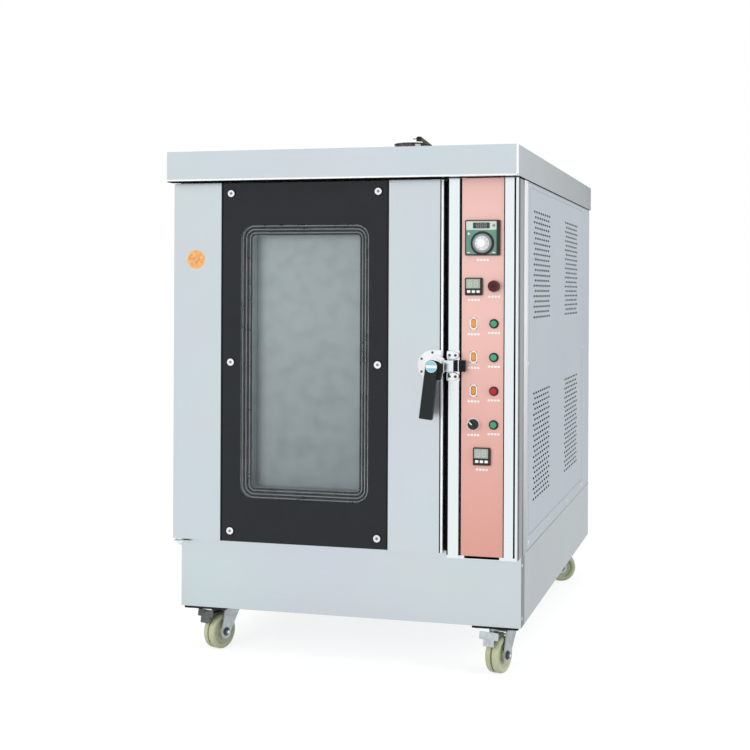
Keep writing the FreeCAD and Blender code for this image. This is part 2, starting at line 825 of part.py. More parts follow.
def flue_pipe():
    low = chamber_high + sheet
    wall = rod_z(low, flue_top, 0.0, flue_behind, flue_radius)
    collar = rod_z(cap_top, cap_top + flue_collar_thick, 0.0, flue_behind, flue_collar)
    bore = rod_z(low, flue_top, 0.0, flue_behind, flue_radius - flue_wall)
    shaft = rod_x(-flue_collar, flue_collar, flue_behind, damper_z, damper_shaft + run_gap)
    return join(wall, collar).cut([bore, shaft])


def damper():
    bore = flue_radius - flue_wall
    disc = rod_z(damper_z - damper_thick / 2, damper_z + damper_thick / 2, 0.0, flue_behind,
                 bore - damper_gap)
    end = flue_radius + damper_arm_out
    shaft = rod_x(-flue_radius, end, flue_behind, damper_z, damper_shaft)
    half = damper_arm_width / 2
    outline = [(end, -half), (end + damper_arm_thick, -half), (end + damper_arm_thick, damper_arm_rise),
               (flue_radius - damper_peak_in + damper_arm_thick, damper_peak_rise + damper_arm_thick),
               (flue_radius - damper_peak_in, damper_peak_rise), (end, damper_arm_rise - damper_arm_thick)]
    points = [V(x, face_y + flue_behind - half, damper_z + z) for x, z in outline]
    arm = Part.Face(Part.makePolygon(points + points[:1])).extrude(ALONG_Y * damper_arm_width)
    tab_x = flue_radius - damper_peak_in
    tab_top = damper_z + damper_tab_rise
    tab = box(tab_x - damper_tab_width / 2, tab_x + damper_tab_width / 2, flue_behind - half,
              flue_behind + half, tab_top - damper_tab_height, tab_top)
    return join(disc, shaft, arm, tab)


def control_height(drop):
    return cap_bottom - drop


def panel_cutouts():
    """Through holes of the control panel, one for each control."""
    front = panel_set
    back = panel_set + panel_thick
    holes = []
    for x, drop, side in ((panel_mid, controller_drop, controller_body),
                          (panel_mid + left_column, upper_timer_drop, timer_body),
                          (panel_mid, lower_timer_drop, timer_body)):
        half = side / 2 + cut_gap
        z = control_height(drop)
        holes.append(box(x - half, x + half, front, back, z - half, z + half))
    for row, drop in enumerate(row_drops):
        z = control_height(drop)
        holes.append(rod_y(front, back, panel_mid + right_column, z, lamp_body + cut_gap))
        if row < switch_rows:
            wide = rocker_width / 2 + rocker_side_gap + switch_wall + cut_gap
            tall = rocker_opening + switch_wall + cut_gap
            x = panel_mid + left_column
            holes.append(box(x - wide, x + wide, front, back, z - tall, z + tall))
        else:
            holes.append(rod_y(front, back, panel_mid + left_column, z, selector_body + cut_gap))
    holes.append(rod_y(front, back, panel_mid + right_column, control_height(buzzer_drop),
                       lamp_body + cut_gap))
    return holes


def control_panel():
    plate = box(panel_x, panel_x + panel_width, panel_set, panel_set + panel_thick,
                plinth_top + panel_low_gap, cap_bottom - panel_high_gap)
    return plate.cut(panel_cutouts())


def instrument(x, z, side, rise, body, depth):
    """A square panel instrument: its front frame and the case behind the panel."""
    half = side / 2
    inner = body / 2
    face = box(x - half, x + half, panel_set - rise, panel_set, z - half, z + half)
    case = box(x - inner, x + inner, panel_set, panel_set + depth, z - inner, z + inner)
    return join(face, case)


def temp_controller():
    z = control_height(controller_drop)
    unit = instrument(panel_mid, z, controller_side, controller_rise, controller_body, controller_depth)
    face = panel_set - controller_rise
    return unit.cut(rod_y(face, face + spindle_length + soft_gap, panel_mid, z - dial_drop,
                          dial_spindle + run_gap))


def temp_dial():
    z = control_height(controller_drop) - dial_drop
    face = panel_set - controller_rise
    back = face - soft_gap
    plate = rod_y(back - dial_thick, back, panel_mid, z, dial_radius)
    knob = rod_y(back - dial_thick - dial_knob_length, back - dial_thick, panel_mid, z, dial_knob)
    spindle = rod_y(back, face + spindle_length, panel_mid, z, dial_spindle)
    return join(plate, knob, spindle)


def timer_places():
    return {"upper": (panel_mid + left_column, control_height(upper_timer_drop)),
            "lower": (panel_mid, control_height(lower_timer_drop))}


def button_box(x, z, index, gap, front, back):
    """The space of one timer button, grown by a gap."""
    centre = x + (index - (buttons_per_timer - 1) / 2) * button_pitch
    height = z - button_drop
    return box(centre - button_width / 2 - gap, centre + button_width / 2 + gap, front, back,
               height - button_height / 2 - gap, height + button_height / 2 + gap)


def timers():
    units = []
    face = panel_set - timer_rise
    bottom = face + button_depth + button_travel + soft_gap
    for x, z in timer_places().values():
        unit = instrument(x, z, timer_side, timer_rise, timer_body, timer_depth)
        units.append(unit.cut([button_box(x, z, index, soft_gap, face, bottom)
                               for index in range(buttons_per_timer)]))
    return group(*units)


def timer_button(timer, index):
    x, z = timer_places()[timer]
    face = panel_set - timer_rise
    key = button_box(x, z, index, 0.0, face - button_rise, face + button_depth)
    return key.makeChamfer(button_bevel, edges_at(key, y=face - button_rise))


def pilot_lamp(x, z, flange, lens, rise):
    """A lamp: body behind the panel, flange on it, and a lens with a rounded rim."""
    body = rod_y(panel_set, panel_set + lamp_depth, x, z, lamp_body)
    collar = rod_y(panel_set - lamp_flange_rise, panel_set, x, z, flange)
    dome = rod_y(panel_set - rise, panel_set - lamp_flange_rise, x, z, lens)
    dome = dome.makeFillet(lens_edge, edges_at(dome, y=panel_set - rise))
    return join(body, collar, dome)


def green_lamps():
    rows = [row for row in range(switch_rows + 1) if row != switch_rows - 1]
    return group(*[pilot_lamp(panel_mid + right_column, control_height(row_drops[row]),
                              lamp_flange, lamp_lens, lamp_lens_rise) for row in rows])


def red_lamps():
    x = panel_mid + right_column
    pilot = pilot_lamp(x, control_height(row_drops[switch_rows - 1]), lamp_flange, lamp_lens, lamp_lens_rise)
    buzzer = pilot_lamp(x, control_height(buzzer_drop), buzzer_flange, buzzer_lens, buzzer_rise)
    return group(pilot, buzzer)


def switch_bezels():
    x = panel_mid + left_column
    pieces = []
    wide = rocker_width / 2 + rocker_side_gap
    face = panel_set - frame_rise
    pivot = panel_set + rocker_pivot
    for row in range(switch_rows):
        z = control_height(row_drops[row])
        outline = slot_wire(V(x, face_y + face, z), ALONG_Z, ALONG_X, frame_height, frame_width)
        front = Part.Face(outline).extrude(ALONG_Y * frame_rise)
        case = box(x - wide - switch_wall, x + wide + switch_wall, panel_set, panel_set + switch_depth,
                   z - rocker_opening - switch_wall, z + rocker_opening + switch_wall)
        well = box(x - wide, x + wide, face, panel_set + switch_depth - switch_wall,
                   z - rocker_opening, z + rocker_opening)
        reach = wide + trunnion_length
        socket = rod_x(x - reach, x + reach, pivot, z, trunnion + run_gap)
        pieces.append(join(front, case).cut([well, socket]))
    z = control_height(row_drops[switch_rows])
    ring = rod_y(panel_set - selector_ring_rise, panel_set, x, z, selector_ring)
    body = rod_y(panel_set, panel_set + selector_depth, x, z, selector_body)
    top = panel_set - selector_ring_rise
    bore = rod_y(top, top + spindle_length + soft_gap, x, z, dial_spindle + run_gap)
    pieces.append(join(ring, body).cut(bore))
    return group(*pieces)


def rocker(row):
    x = panel_mid + left_column
    z = control_height(row_drops[row])
    pivot = panel_set + rocker_pivot
    side = [(-rocker_half, rocker_front), (0.0, rocker_middle), (rocker_half, rocker_front),
            (rocker_half, 0.0), (0.0, -rocker_back), (-rocker_half, 0.0)]
    points = [V(x - rocker_width / 2, face_y + pivot - ahead, z + up) for up, ahead in side]
    key = Part.Face(Part.makePolygon(points + points[:1])).extrude(ALONG_X * rocker_width)
    reach = rocker_width / 2 + rocker_side_gap + trunnion_length - soft_gap
    key = join(key, rod_x(x - reach, x + reach, pivot, z, trunnion))
    key.rotate(V(x, face_y + pivot, z), ALONG_X, -rocker_tilt)
    return key


def selector_knob():
    x = panel_mid + left_column
    z = control_height(row_drops[switch_rows])
    face = panel_set - selector_ring_rise
    back = face - soft_gap
    front = back - selector_length
    drum = rod_y(front, back, x, z, selector_radius)
    fin = box(x - selector_fin / 2, x + selector_fin / 2, front - selector_fin_rise, front,
              z - selector_radius + soft_gap, z + selector_radius - soft_gap)
    fin.rotate(V(x, 0, z), ALONG_Y, -selector_rest)
    spindle = rod_y(back, face + spindle_length, x, z, dial_spindle)
    return join(drum, fin, spindle)


def control_gear():
    low = plinth_top + gear_low
    plate = box(wool_right, wool_right + gear_plate, gear_front, gear_front + gear_length, low,
                low + gear_height)
    pieces = [plate]
    row_step = gear_height / gear_rows
    unit_step = gear_length / gear_units
    face = wool_right + gear_plate
    for row in range(gear_rows):
        middle = low + (row + 1 / 2) * row_step
        rail = box(face, face + gear_rail, gear_front, gear_front + gear_length,
                   middle - gear_rail_height / 2, middle + gear_rail_height / 2)
        pieces.append(rail)
        for unit in range(gear_units):
            y = gear_front + (unit + 1 / 2) * unit_step
            pieces.append(box(face + gear_rail, face + gear_rail + gear_unit_depth,
                              y - gear_unit_width / 2, y + gear_unit_width / 2,
                              middle - gear_unit_height / 2, middle + gear_unit_height / 2))
    x = half_width - gland_right
    z = plinth_top + gland_up
    flange = rod_y(cabinet_depth, cabinet_depth + gland_flange_thick, x, z, gland_flange)
    barrel = rod_y(cabinet_depth, cabinet_depth + gland_length, x, z, gland_radius)
    bore = rod_y(cabinet_depth, cabinet_depth + gland_length, x, z, gland_bore)
    pieces.append(join(flange, barrel).cut(bore))
    return group(*pieces)


def keeper():
    low = latch_z - bolt_height / 2 - keeper_lobe_height
    high = latch_z + bolt_height / 2 + keeper_lobe_height
    right = jamb_x + jamb_width
    plate = box(jamb_x, right, -keeper_plate, 0.0, low, high)
    lobes = []
    screws = []
    lobe_height = keeper_lobe_height - pad_clear
    for z0, z1 in ((low, low + lobe_height), (high - lobe_height, high)):
        lobe = box(jamb_x, right, -keeper_plate - keeper_lobe, -keeper_plate, z0, z1)
        lobes.append(lobe.makeFillet(keeper_bend, edges_at(lobe, y=-keeper_plate - keeper_lobe)))
        for x in (jamb_x + keeper_screw_inset, right - keeper_screw_inset):
            face = -keeper_plate - keeper_lobe
            screws.append(rod_y(face - screw_rise, face, x, (z0 + z1) / 2, keeper_screw))
    pad_x = door_right + bolt_reach + pad_clear
    pad = box(pad_x, pad_x + keeper_pad_length, -keeper_plate - keeper_pad_depth, -keeper_plate,
              latch_z - bolt_height / 2, latch_z + bolt_height / 2)
    return group(plate, *lobes, *screws, pad)


def door_hinges():
    top = door_low - bracket_drop
    plate = box(-half_width + seam, -half_width + seam + bracket_width, bracket_front, front_setback,
                top - bracket_thick, top)
    bearing = rod_z(top, door_low - soft_gap, pin_x, pin_depth, bearing_radius)
    lower_pin = rod_z(top, door_low + pin_engage, pin_x, pin_depth, pin_radius)
    nut_low = top - bracket_thick - nut_height
    nut = rod_z(nut_low, top - bracket_thick, pin_x, pin_depth, nut_radius)
    dome = Part.makeSphere(dome_radius, V(pin_x, face_y + pin_depth, nut_low))
    upper_pin = rod_z(door_high - pin_engage, cap_bottom, pin_x, pin_depth, pin_radius)
    return group(join(plate, bearing, lower_pin, nut, dome), upper_pin)


def screw(place, direction):
    return Part.makeCone(screw_head, screw_head * screw_taper, screw_rise, place, direction)


def panel_screws():
    screws = []
    span = vent_panel_rear - vent_panel_front
    heights = (plinth_top + vent_panel_low / 2, cap_bottom - vent_panel_high / 2)
    for index in range(side_screws):
        y = vent_panel_front + span * index / (side_screws - 1)
        screws += [screw(V(half_width, face_y + y, z), ALONG_X) for z in heights]
    middle = (heights[0] + heights[1]) / 2
    for y in (vent_panel_front - vent_seat / 2, vent_panel_rear + vent_seat / 2):
        screws.append(screw(V(half_width, face_y + y, middle), ALONG_X))
    flange_y = front_setback + plinth_flange / 2
    for x, direction in ((-half_width, -ALONG_X), (half_width, ALONG_X)):
        for z in (caster_height + plinth_flange, plinth_top - plinth_flange):
            screws.append(screw(V(x, face_y + flange_y, z), direction))
    wide = rear_cover_width / 2 - rear_screw_inset
    tall = rear_cover_height / 2 - rear_screw_inset
    for x in (chamber_x - wide, chamber_x + wide):
        for z in (chamber_z - tall, chamber_z + tall):
            screws.append(screw(V(x, face_y + cabinet_depth + sheet, z), ALONG_Y))
    return group(*screws)


def stile(x0, x1, edge_x, rebate_x0, rebate_x1):
    """An upright of the door, folded from sheet, open to the rear, with a rebate for the glass."""
    solid = box(x0, x1, 0.0, pan_front, door_low, door_high)
    solid = solid.makeFillet(door_edge, edges_at(solid, x=edge_x, y=0.0))
    low = door_low + sheet
    high = door_high - sheet
    room = box(x0 + sheet, x1 - sheet, glass_back + sheet, pan_front, low, high)
    strip_x0 = rebate_x1 if edge_x == x1 else x0
    strip_x1 = x1 if edge_x == x1 else rebate_x0
    strip_room = box(strip_x0 + sheet, strip_x1 - sheet, sheet, glass_back + sheet, low, high)
    rebate = box(rebate_x0, rebate_x1, 0.0, glass_back, door_low, door_high)
    return solid.cut([room, strip_room, rebate])


def rail(z0, z1):
    """A cross member of the door behind the glass, open to the rear."""
    solid = box(hole_left, hole_right, glass_back, pan_front, z0, z1)
    return solid.cut(box(hole_left + sheet, hole_right - sheet, glass_back + sheet, pan_front,
                         z0 + sheet, z1 - sheet))


def door_shell():
    hinge_right = pin_x + hinge_block
    blocks = [box(door_left + sheet, hinge_right, sheet, pan_front, z, z + hinge_block)
              for z in (door_low + sheet, door_high - sheet - hinge_block)]
    left = join(stile(door_left, hole_left, door_left, glass_left, hole_left), *blocks)
    bores = [rod_z(door_low, door_low + pin_engage + soft_gap, pin_x, pin_depth, pin_radius + run_gap),
             rod_z(door_high - pin_engage - soft_gap, door_high, pin_x, pin_depth, pin_radius + run_gap)]
    right = stile(hole_right, door_right, door_right, hole_right, glass_right)
    return group(left.cut(bores), right, rail(hole_high, door_high), rail(door_low, hole_low))


def door_inner_pan():
    lap = inner_glass_lap
    back = door_thick
    return group(box(door_left + sheet, hole_left + lap, pan_front, back, door_low, door_high),
                 box(hole_right - lap, door_right - sheet, pan_front, back, door_low, door_high),
                 box(hole_left + lap, hole_right - lap, pan_front, back, hole_high - lap, door_high),
                 box(hole_left + lap, hole_right - lap, pan_front, back, door_low, hole_low + lap))


def stud_places():
    columns = (glass_left + stud_side, glass_right - stud_side)
    return [(x, z) for x in columns for z in (door_low + stud_end, door_mid_z, door_high - stud_end)]


def outer_glass():
    pane = box(glass_left + soft_gap, glass_right - soft_gap, glass_recess, glass_back, door_low, door_high)
    return pane.cut([rod_y(glass_recess, glass_back, x, z, stud_shank + soft_gap)
                     for x, z in stud_places()])


def inner_glass():
    return box(hole_left + soft_gap, hole_right - soft_gap, pan_front - inner_glass_thick, pan_front,
               hole_low + soft_gap, hole_high - soft_gap)


def window_frame():
    rings = []
    for index in range(window_steps):
        y = glass_back + index * step_depth
        inset = (index + 1) * step_width
        outline = rectangle_y(hole_left, hole_right, hole_low, hole_high, y, window_corner)
        opening = rectangle_y(hole_left + inset, hole_right - inset, hole_low + inset, hole_high - inset,
                              y, window_corner)
        rings.append(plate_y(outline, [opening], step_depth))
    return join(*rings)


def glass_studs():
    studs = []
    front = glass_recess - washer_thick
    for x, z in stud_places():
        shank = rod_y(front, glass_back, x, z, stud_shank)
        washer = rod_y(front, glass_recess, x, z, stud_washer)
        head = rod_y(front - stud_rise, front, x, z, stud_head)
        head = head.makeChamfer(stud_bevel, edges_at(head, y=front - stud_rise))
        studs.append(join(shank, washer, head))
    return group(*studs)


def door_gasket():
    back = front_setback - soft_gap
    outer = gasket_inset + gasket_width / 2
    inner = gasket_inset - gasket_width / 2
    left, right = chamber_left - outer, chamber_right + outer
    low, high = chamber_low - outer, chamber_high + outer
    bars = [box(left, left + gasket_width, door_thick, back, low, high),
            box(right - gasket_width, right, door_thick, back, low, high),
            box(chamber_left - inner, chamber_right + inner, door_thick, back, high - gasket_width, high),
            box(chamber_left - inner, chamber_right + inner, door_thick, back, low, low + gasket_width)]
    lip = box(door_right, door_right + gasket_lip, door_thick - gasket_lip_depth, door_thick, door_low,
              door_high)
    return group(*bars, lip)


def latch_body():
    rose_x = latch_x - rose_offset
    rose = rod_y(-rose_thick, 0.0, rose_x, latch_z, rose_radius)
    limit = door_right + guide_overhang
    rose = rose.common(box(rose_x - rose_radius, limit, -rose_thick, 0.0,
                           latch_z - rose_radius, latch_z + rose_radius))
    barrel = rod_y(-latch_depth, -rose_thick, latch_x, latch_z, latch_barrel)
    tall = bolt_height / 2 + guide_wall
    guide = box(latch_x, limit, -guide_depth, -rose_thick, latch_z - tall, latch_z + tall)
    room_x = door_right + bolt_reach - bolt_length - bolt_travel - soft_gap
    channel = box(room_x, limit, -bolt_front - soft_gap, -bolt_back + soft_gap,
                  latch_z - bolt_height / 2 - soft_gap, latch_z + bolt_height / 2 + soft_gap)
    bore = rod_y(-latch_depth, -latch_depth + spindle_engage + soft_gap, latch_x, latch_z,
                 spindle_radius + run_gap)
    screws = []
    for index in range(rose_screws):
        angle = math.radians(rose_screw_start + index * rose_screw_step)
        x = rose_x + rose_screw_ring * math.cos(angle)
        z = latch_z + rose_screw_ring * math.sin(angle)
        screws.append(rod_y(-rose_thick - screw_rise, -rose_thick, x, z, rose_screw_head))
    return group(join(rose, barrel, guide).cut([channel, bore]), *screws)


def latch_bolt():
    end = door_right + bolt_reach
    bolt = box(end - bolt_length, end, -bolt_front, -bolt_back, latch_z - bolt_height / 2,
               latch_z + bolt_height / 2)
    return bolt.makeFillet(bolt_nose, edges_at(bolt, x=end))


def handle_lever():
    back = -latch_depth - soft_gap
    grip_back = -latch_depth - lever_neck
    front = grip_back - lever_thick
    spindle = rod_y(back, -latch_depth + spindle_engage, latch_x, latch_z, spindle_radius)
    neck = rod_y(grip_back, back, latch_x, latch_z, lever_hub - lever_edge)
    hub = rod_y(front, grip_back, latch_x, latch_z, lever_hub)
    arm = box(latch_x - lever_width / 2, latch_x + lever_width / 2, front, grip_back,
              latch_z - lever_length, latch_z)
    arm = arm.makeFillet(lever_edge, edges_at(arm, z=latch_z - lever_length)
                         + edges_at(arm, x=latch_x - lever_width / 2, y=front)
                         + edges_at(arm, x=latch_x + lever_width / 2, y=front))
    arm.rotate(V(latch_x, 0, latch_z), ALONG_Y, lever_lean)
    disc = rod_y(front - hub_disc_thick, front, latch_x, latch_z, hub_disc)
    return join(spindle, neck, hub, arm, disc)


def plate_places():
    left = -half_width + plate_side + plate_length / 2
    front = front_setback + plate_front + plate_width / 2
    rear = cabinet_depth - plate_rear
    return {"front_left": (left, front), "front_right": (-left, front),
            "rear_left": (left, rear), "rear_right": (-left, rear)}


def caster_places():
    """Each caster's swivel axis."""
    places = {}
    for corner, (x, y) in plate_places().items():
        across, along = swivel_offsets[corner]
        places[corner] = (x + across, y + along)
    return places


def placed(shape, corner):
    """Turns a caster piece, built about its swivel axis, to its heading and moves it to its corner."""
    x, y = caster_places()[corner]
    moved = shape.copy()
    moved.rotate(V(0, 0, 0), ALONG_Z, headings[corner])
    moved.translate(V(x, face_y + y, 0))
    return moved


def local_box(x0, x1, y0, y1, z0, z1):
    return Part.makeBox(x1 - x0, y1 - y0, z1 - z0, V(x0, y0, z0))


def local_rod(start, length, radius, along):
    return Part.makeCylinder(radius, length, start, along)


race_low = caster_height - plate_thick - race_height
fork_top = race_low - soft_gap
fork_under = fork_top - fork_thick


def caster_plate(corner):
    """Plate with its bolts, built about the swivel axis, and the race and king pin under it."""
    across, along = swivel_offsets[corner]
    left = -plate_length / 2 - across
    front = -plate_width / 2 - along
    low = caster_height - plate_thick
    plate = local_box(left, left + plate_length, front, front + plate_width, low, caster_height)
    race = local_rod(V(0, 0, race_low), race_height, race_radius, ALONG_Z)
    pin = local_rod(V(0, 0, fork_under - soft_gap), low - fork_under + soft_gap, king_pin, ALONG_Z)
    head = local_rod(V(0, 0, fork_under - soft_gap - king_head_height), king_head_height, king_head, ALONG_Z)
    bolts = [local_rod(V(x, y, low - plate_bolt_height), plate_bolt_height, plate_bolt, ALONG_Z)
             for x in (left + plate_bolt_inset, left + plate_length - plate_bolt_inset)
             for y in (front + plate_bolt_inset, front + plate_width - plate_bolt_inset)]
    return join(plate, race, pin, head, *bolts)


def caster_plates():
    plates = []
    for corner, (x, y) in caster_places().items():
        plate = caster_plate(corner)
        plate.translate(V(x, face_y + y, 0))
        plates.append(plate)
    return group(*plates)


def fork_side(x):
    """One leg of the fork: wide at the top, round about the axle."""
    foot = wheel_radius
    points = [V(x, fork_back, fork_top), V(x, -fork_front, fork_top), V(x, -trail - fork_foot, foot),
              V(x, -trail, foot - fork_foot), V(x, -trail + fork_foot, foot)]
    edges = [Part.LineSegment(points[0], points[1]).toShape(),
             Part.LineSegment(points[1], points[2]).toShape(),
             Part.Arc(points[2], points[3], points[4]).toShape(),
             Part.LineSegment(points[4], points[0]).toShape()]
    return Part.Face(Part.Wire(edges)).extrude(ALONG_X * fork_leg)


def caster_fork(corner):
    inner = fork_gap / 2
    outer = inner + fork_leg
    crown = local_box(-outer, outer, -fork_front, fork_back, fork_under, fork_top)
    race = local_rod(V(0, 0, fork_under), fork_thick, race_radius, ALONG_Z)
    legs = [fork_side(inner), fork_side(-outer)]
    reach = outer + axle_head_height
    axle = local_rod(V(-outer, -trail, wheel_radius), 2 * outer, axle_radius, ALONG_X)
    heads = [local_rod(V(x, -trail, wheel_radius), axle_head_height, axle_head, ALONG_X)
             for x in (outer, -reach)]
    pieces = [crown, race, axle] + legs + heads
    if corner in braked:
        pieces.append(local_rod(V(-outer, -pedal_pin_front, wheel_radius + pedal_pin_up), 2 * outer,
                                pedal_pin, ALONG_X))
    fork = join(*pieces)
    bore = local_rod(V(0, 0, fork_under), fork_thick, king_pin + run_gap, ALONG_Z)
    return placed(fork.cut(bore), corner)


def caster_wheel(corner):
    half = wheel_width / 2
    tread = local_rod(V(-half, -trail, wheel_radius), wheel_width, wheel_radius, ALONG_X)
    rims = [edge for edge in tread.Edges if isinstance(edge.Curve, Part.Circle)]
    tread = tread.makeFillet(wheel_edge, rims)
    ring = local_rod(V(-wheel_groove / 2, -trail, wheel_radius), wheel_groove, wheel_radius, ALONG_X)
    core = local_rod(V(-wheel_groove / 2, -trail, wheel_radius), wheel_groove,
                     wheel_radius - wheel_groove_depth, ALONG_X)
    dishes = [local_rod(V(x, -trail, wheel_radius), wheel_dish_depth, wheel_dish, ALONG_X)
              for x in (-half, half - wheel_dish_depth)]
    hub = local_rod(V(-wheel_hub_width / 2, -trail, wheel_radius), wheel_hub_width, wheel_hub, ALONG_X)
    bore = local_rod(V(-wheel_hub_width / 2, -trail, wheel_radius), wheel_hub_width,
                     axle_radius + run_gap, ALONG_X)
    wheel = join(tread.cut([ring.cut(core)] + dishes), hub).cut(bore)
    return placed(wheel, corner)


def brake_pedal(corner):
    z = wheel_radius + pedal_pin_up
    width = 2 * pedal_arm
    sleeve = local_rod(V(-pedal_arm, -pedal_pin_front, z), width, pedal_sleeve, ALONG_X)
    arm = local_box(-pedal_arm, pedal_arm, -pedal_start - pedal_thick / 2, -pedal_pin_front,
                    z - pedal_thick / 2, z + pedal_thick / 2)
    slope = V(0, pedal_start - pedal_end, -pedal_drop)
    down = V(slope).normalize()
    top = V(0, -pedal_start, z + pedal_lift)
    outline = [(-pedal_half, 0.0), (-pedal_half, pedal_tread), (-pedal_toe, pedal_tread),
               (-pedal_toe, slope.Length), (pedal_toe, slope.Length), (pedal_toe, pedal_tread),
               (pedal_half, pedal_tread), (pedal_half, 0.0)]
    points = [top + ALONG_X * x + down * run for x, run in outline]
    tread = Part.Face(Part.makePolygon(points + points[:1])).extrude(ALONG_X.cross(down) * pedal_thick)
    bore = local_rod(V(-pedal_arm, -pedal_pin_front, z), width, pedal_pin + run_gap, ALONG_X)
    return placed(join(sleeve, arm, tread).cut(bore), corner)


nodes = {
    "base_frame": base_frame(), "plinth": plinth(), "left_panel": left_panel(), "right_panel": right_panel(),
    "rear_panel": rear_panel(), "top_cap": top_cap(), "front_frame": front_frame(),
    "control_column": control_column(), "chamber_liner": chamber_liner(),
    "chamber_insulation": chamber_insulation(), "fan_baffle": fan_baffle(), "heater_rings": heater_rings(),
    "fan_motor": fan_motor(), "fan_wheel": fan_wheel(), "steam_injector": steam_injector(),
    "tray_racks": tray_racks(), "flue_pipe": flue_pipe(), "damper": damper(),
    "control_panel": control_panel(), "temp_controller": temp_controller(), "temp_dial": temp_dial(),
    "timers": timers(), "green_lamps": green_lamps(), "red_lamps": red_lamps(),
    "switch_bezels": switch_bezels(), "selector_knob": selector_knob(), "control_gear": control_gear(),
    "keeper": keeper(), "door_hinges": door_hinges(), "panel_screws": panel_screws(),
    "door_shell": door_shell(), "door_inner_pan": door_inner_pan(), "outer_glass": outer_glass(),
    "inner_glass": inner_glass(), "window_frame": window_frame(), "glass_studs": glass_studs(),
    "door_gasket": door_gasket(), "latch_body": latch_body(), "latch_bolt": latch_bolt(),
    "handle_lever": handle_lever(), "caster_plates": caster_plates(),
}
for number in range(switch_rows):
    nodes[f"rocker_{number + 1}"] = rocker(number)
for timer in timer_places():
    for number in range(buttons_per_timer):
        nodes[f"{timer}_timer_button_{number + 1}"] = timer_button(timer, number)
for corner in headings:
    nodes[f"{corner}_fork"] = caster_fork(corner)
    nodes[f"{corner}_wheel"] = caster_wheel(corner)
for corner in braked:
    nodes[f"{corner}_brake"] = brake_pedal(corner)

for name, shape in nodes.items():
    shape.exportStep(f"parts/{name}.step")
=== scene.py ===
import json
import math
from collections import namedtuple

import bmesh
import bpy
import numpy as np
from bpy.types import Operator, Panel, PropertyGroup
from mathutils import Matrix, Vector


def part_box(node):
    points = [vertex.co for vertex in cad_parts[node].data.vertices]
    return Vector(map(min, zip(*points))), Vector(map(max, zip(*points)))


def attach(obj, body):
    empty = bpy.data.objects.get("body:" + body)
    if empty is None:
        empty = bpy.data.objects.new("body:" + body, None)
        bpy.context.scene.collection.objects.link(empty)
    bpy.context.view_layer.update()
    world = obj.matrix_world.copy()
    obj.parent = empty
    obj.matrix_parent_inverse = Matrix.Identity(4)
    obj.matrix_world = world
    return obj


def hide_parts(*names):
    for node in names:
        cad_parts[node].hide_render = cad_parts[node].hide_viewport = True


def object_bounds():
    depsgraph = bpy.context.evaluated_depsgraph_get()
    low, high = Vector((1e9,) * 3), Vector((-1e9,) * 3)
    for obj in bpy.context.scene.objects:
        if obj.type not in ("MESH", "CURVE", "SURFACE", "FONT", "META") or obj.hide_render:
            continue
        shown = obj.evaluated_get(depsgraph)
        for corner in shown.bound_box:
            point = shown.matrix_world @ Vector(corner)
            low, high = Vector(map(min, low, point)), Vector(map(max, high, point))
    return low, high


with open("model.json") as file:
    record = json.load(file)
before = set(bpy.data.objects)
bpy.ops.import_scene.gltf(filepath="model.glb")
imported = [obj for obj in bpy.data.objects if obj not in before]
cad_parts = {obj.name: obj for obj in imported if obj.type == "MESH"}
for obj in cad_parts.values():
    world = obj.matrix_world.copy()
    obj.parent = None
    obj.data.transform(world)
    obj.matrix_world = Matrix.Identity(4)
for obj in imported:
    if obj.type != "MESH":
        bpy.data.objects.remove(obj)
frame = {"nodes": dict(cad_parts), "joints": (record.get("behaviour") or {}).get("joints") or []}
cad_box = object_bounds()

bl_info = {
    "name": "Oven Dressing",
    "version": (1, 0, 0),
    "blender": (4, 5, 0),
    "location": "3D View > Sidebar > Oven",
    "description": "Finishes, fine pieces and a studio for a combi oven on casters",
    "category": "Object",
}

Shell = namedtuple("Shell", "points quads caps finish")

# Facings: the directions that an outline's first and second coordinate run along.
FRONT = np.array([(1.0, 0.0, 0.0), (0.0, 0.0, 1.0)])
REAR = np.array([(-1.0, 0.0, 0.0), (0.0, 0.0, 1.0)])
RIGHT = np.array([(0.0, 1.0, 0.0), (0.0, 0.0, 1.0)])
LEFT = np.array([(0.0, -1.0, 0.0), (0.0, 0.0, 1.0)])
TOP = np.array([(1.0, 0.0, 0.0), (0.0, 1.0, 0.0)])
UNDER = np.array([(1.0, 0.0, 0.0), (0.0, -1.0, 0.0)])

ROUND_POINTS = 40
CORNER_POINTS = 7
EDGE_POINTS = 5
LEAST_RADIUS = 2e-5
SHARP_ANGLE = math.radians(38.0)
SAME_PLACE = 6           # decimals of a metre to which points of one place agree
SKIN = 0.0003            # thickness of a printed or glued-on face


def length(metres, description):
    """A size in metres that a user may change."""
    return bpy.props.FloatProperty(description=description, default=metres, min=0.0, precision=4,
                                   unit="LENGTH")


def colour(value, description):
    """A linear colour that a user may change."""
    return bpy.props.FloatVectorProperty(description=description, default=value, min=0.0, max=1.0,
                                         subtype="COLOR", size=3)


def amount(value, description, unit="NONE"):
    """A number that a user may change, plain or with a unit."""
    return bpy.props.FloatProperty(description=description, default=value, unit=unit)


def count(value, description):
    """A whole number that a user may change."""
    return bpy.props.IntProperty(description=description, default=value, min=1)


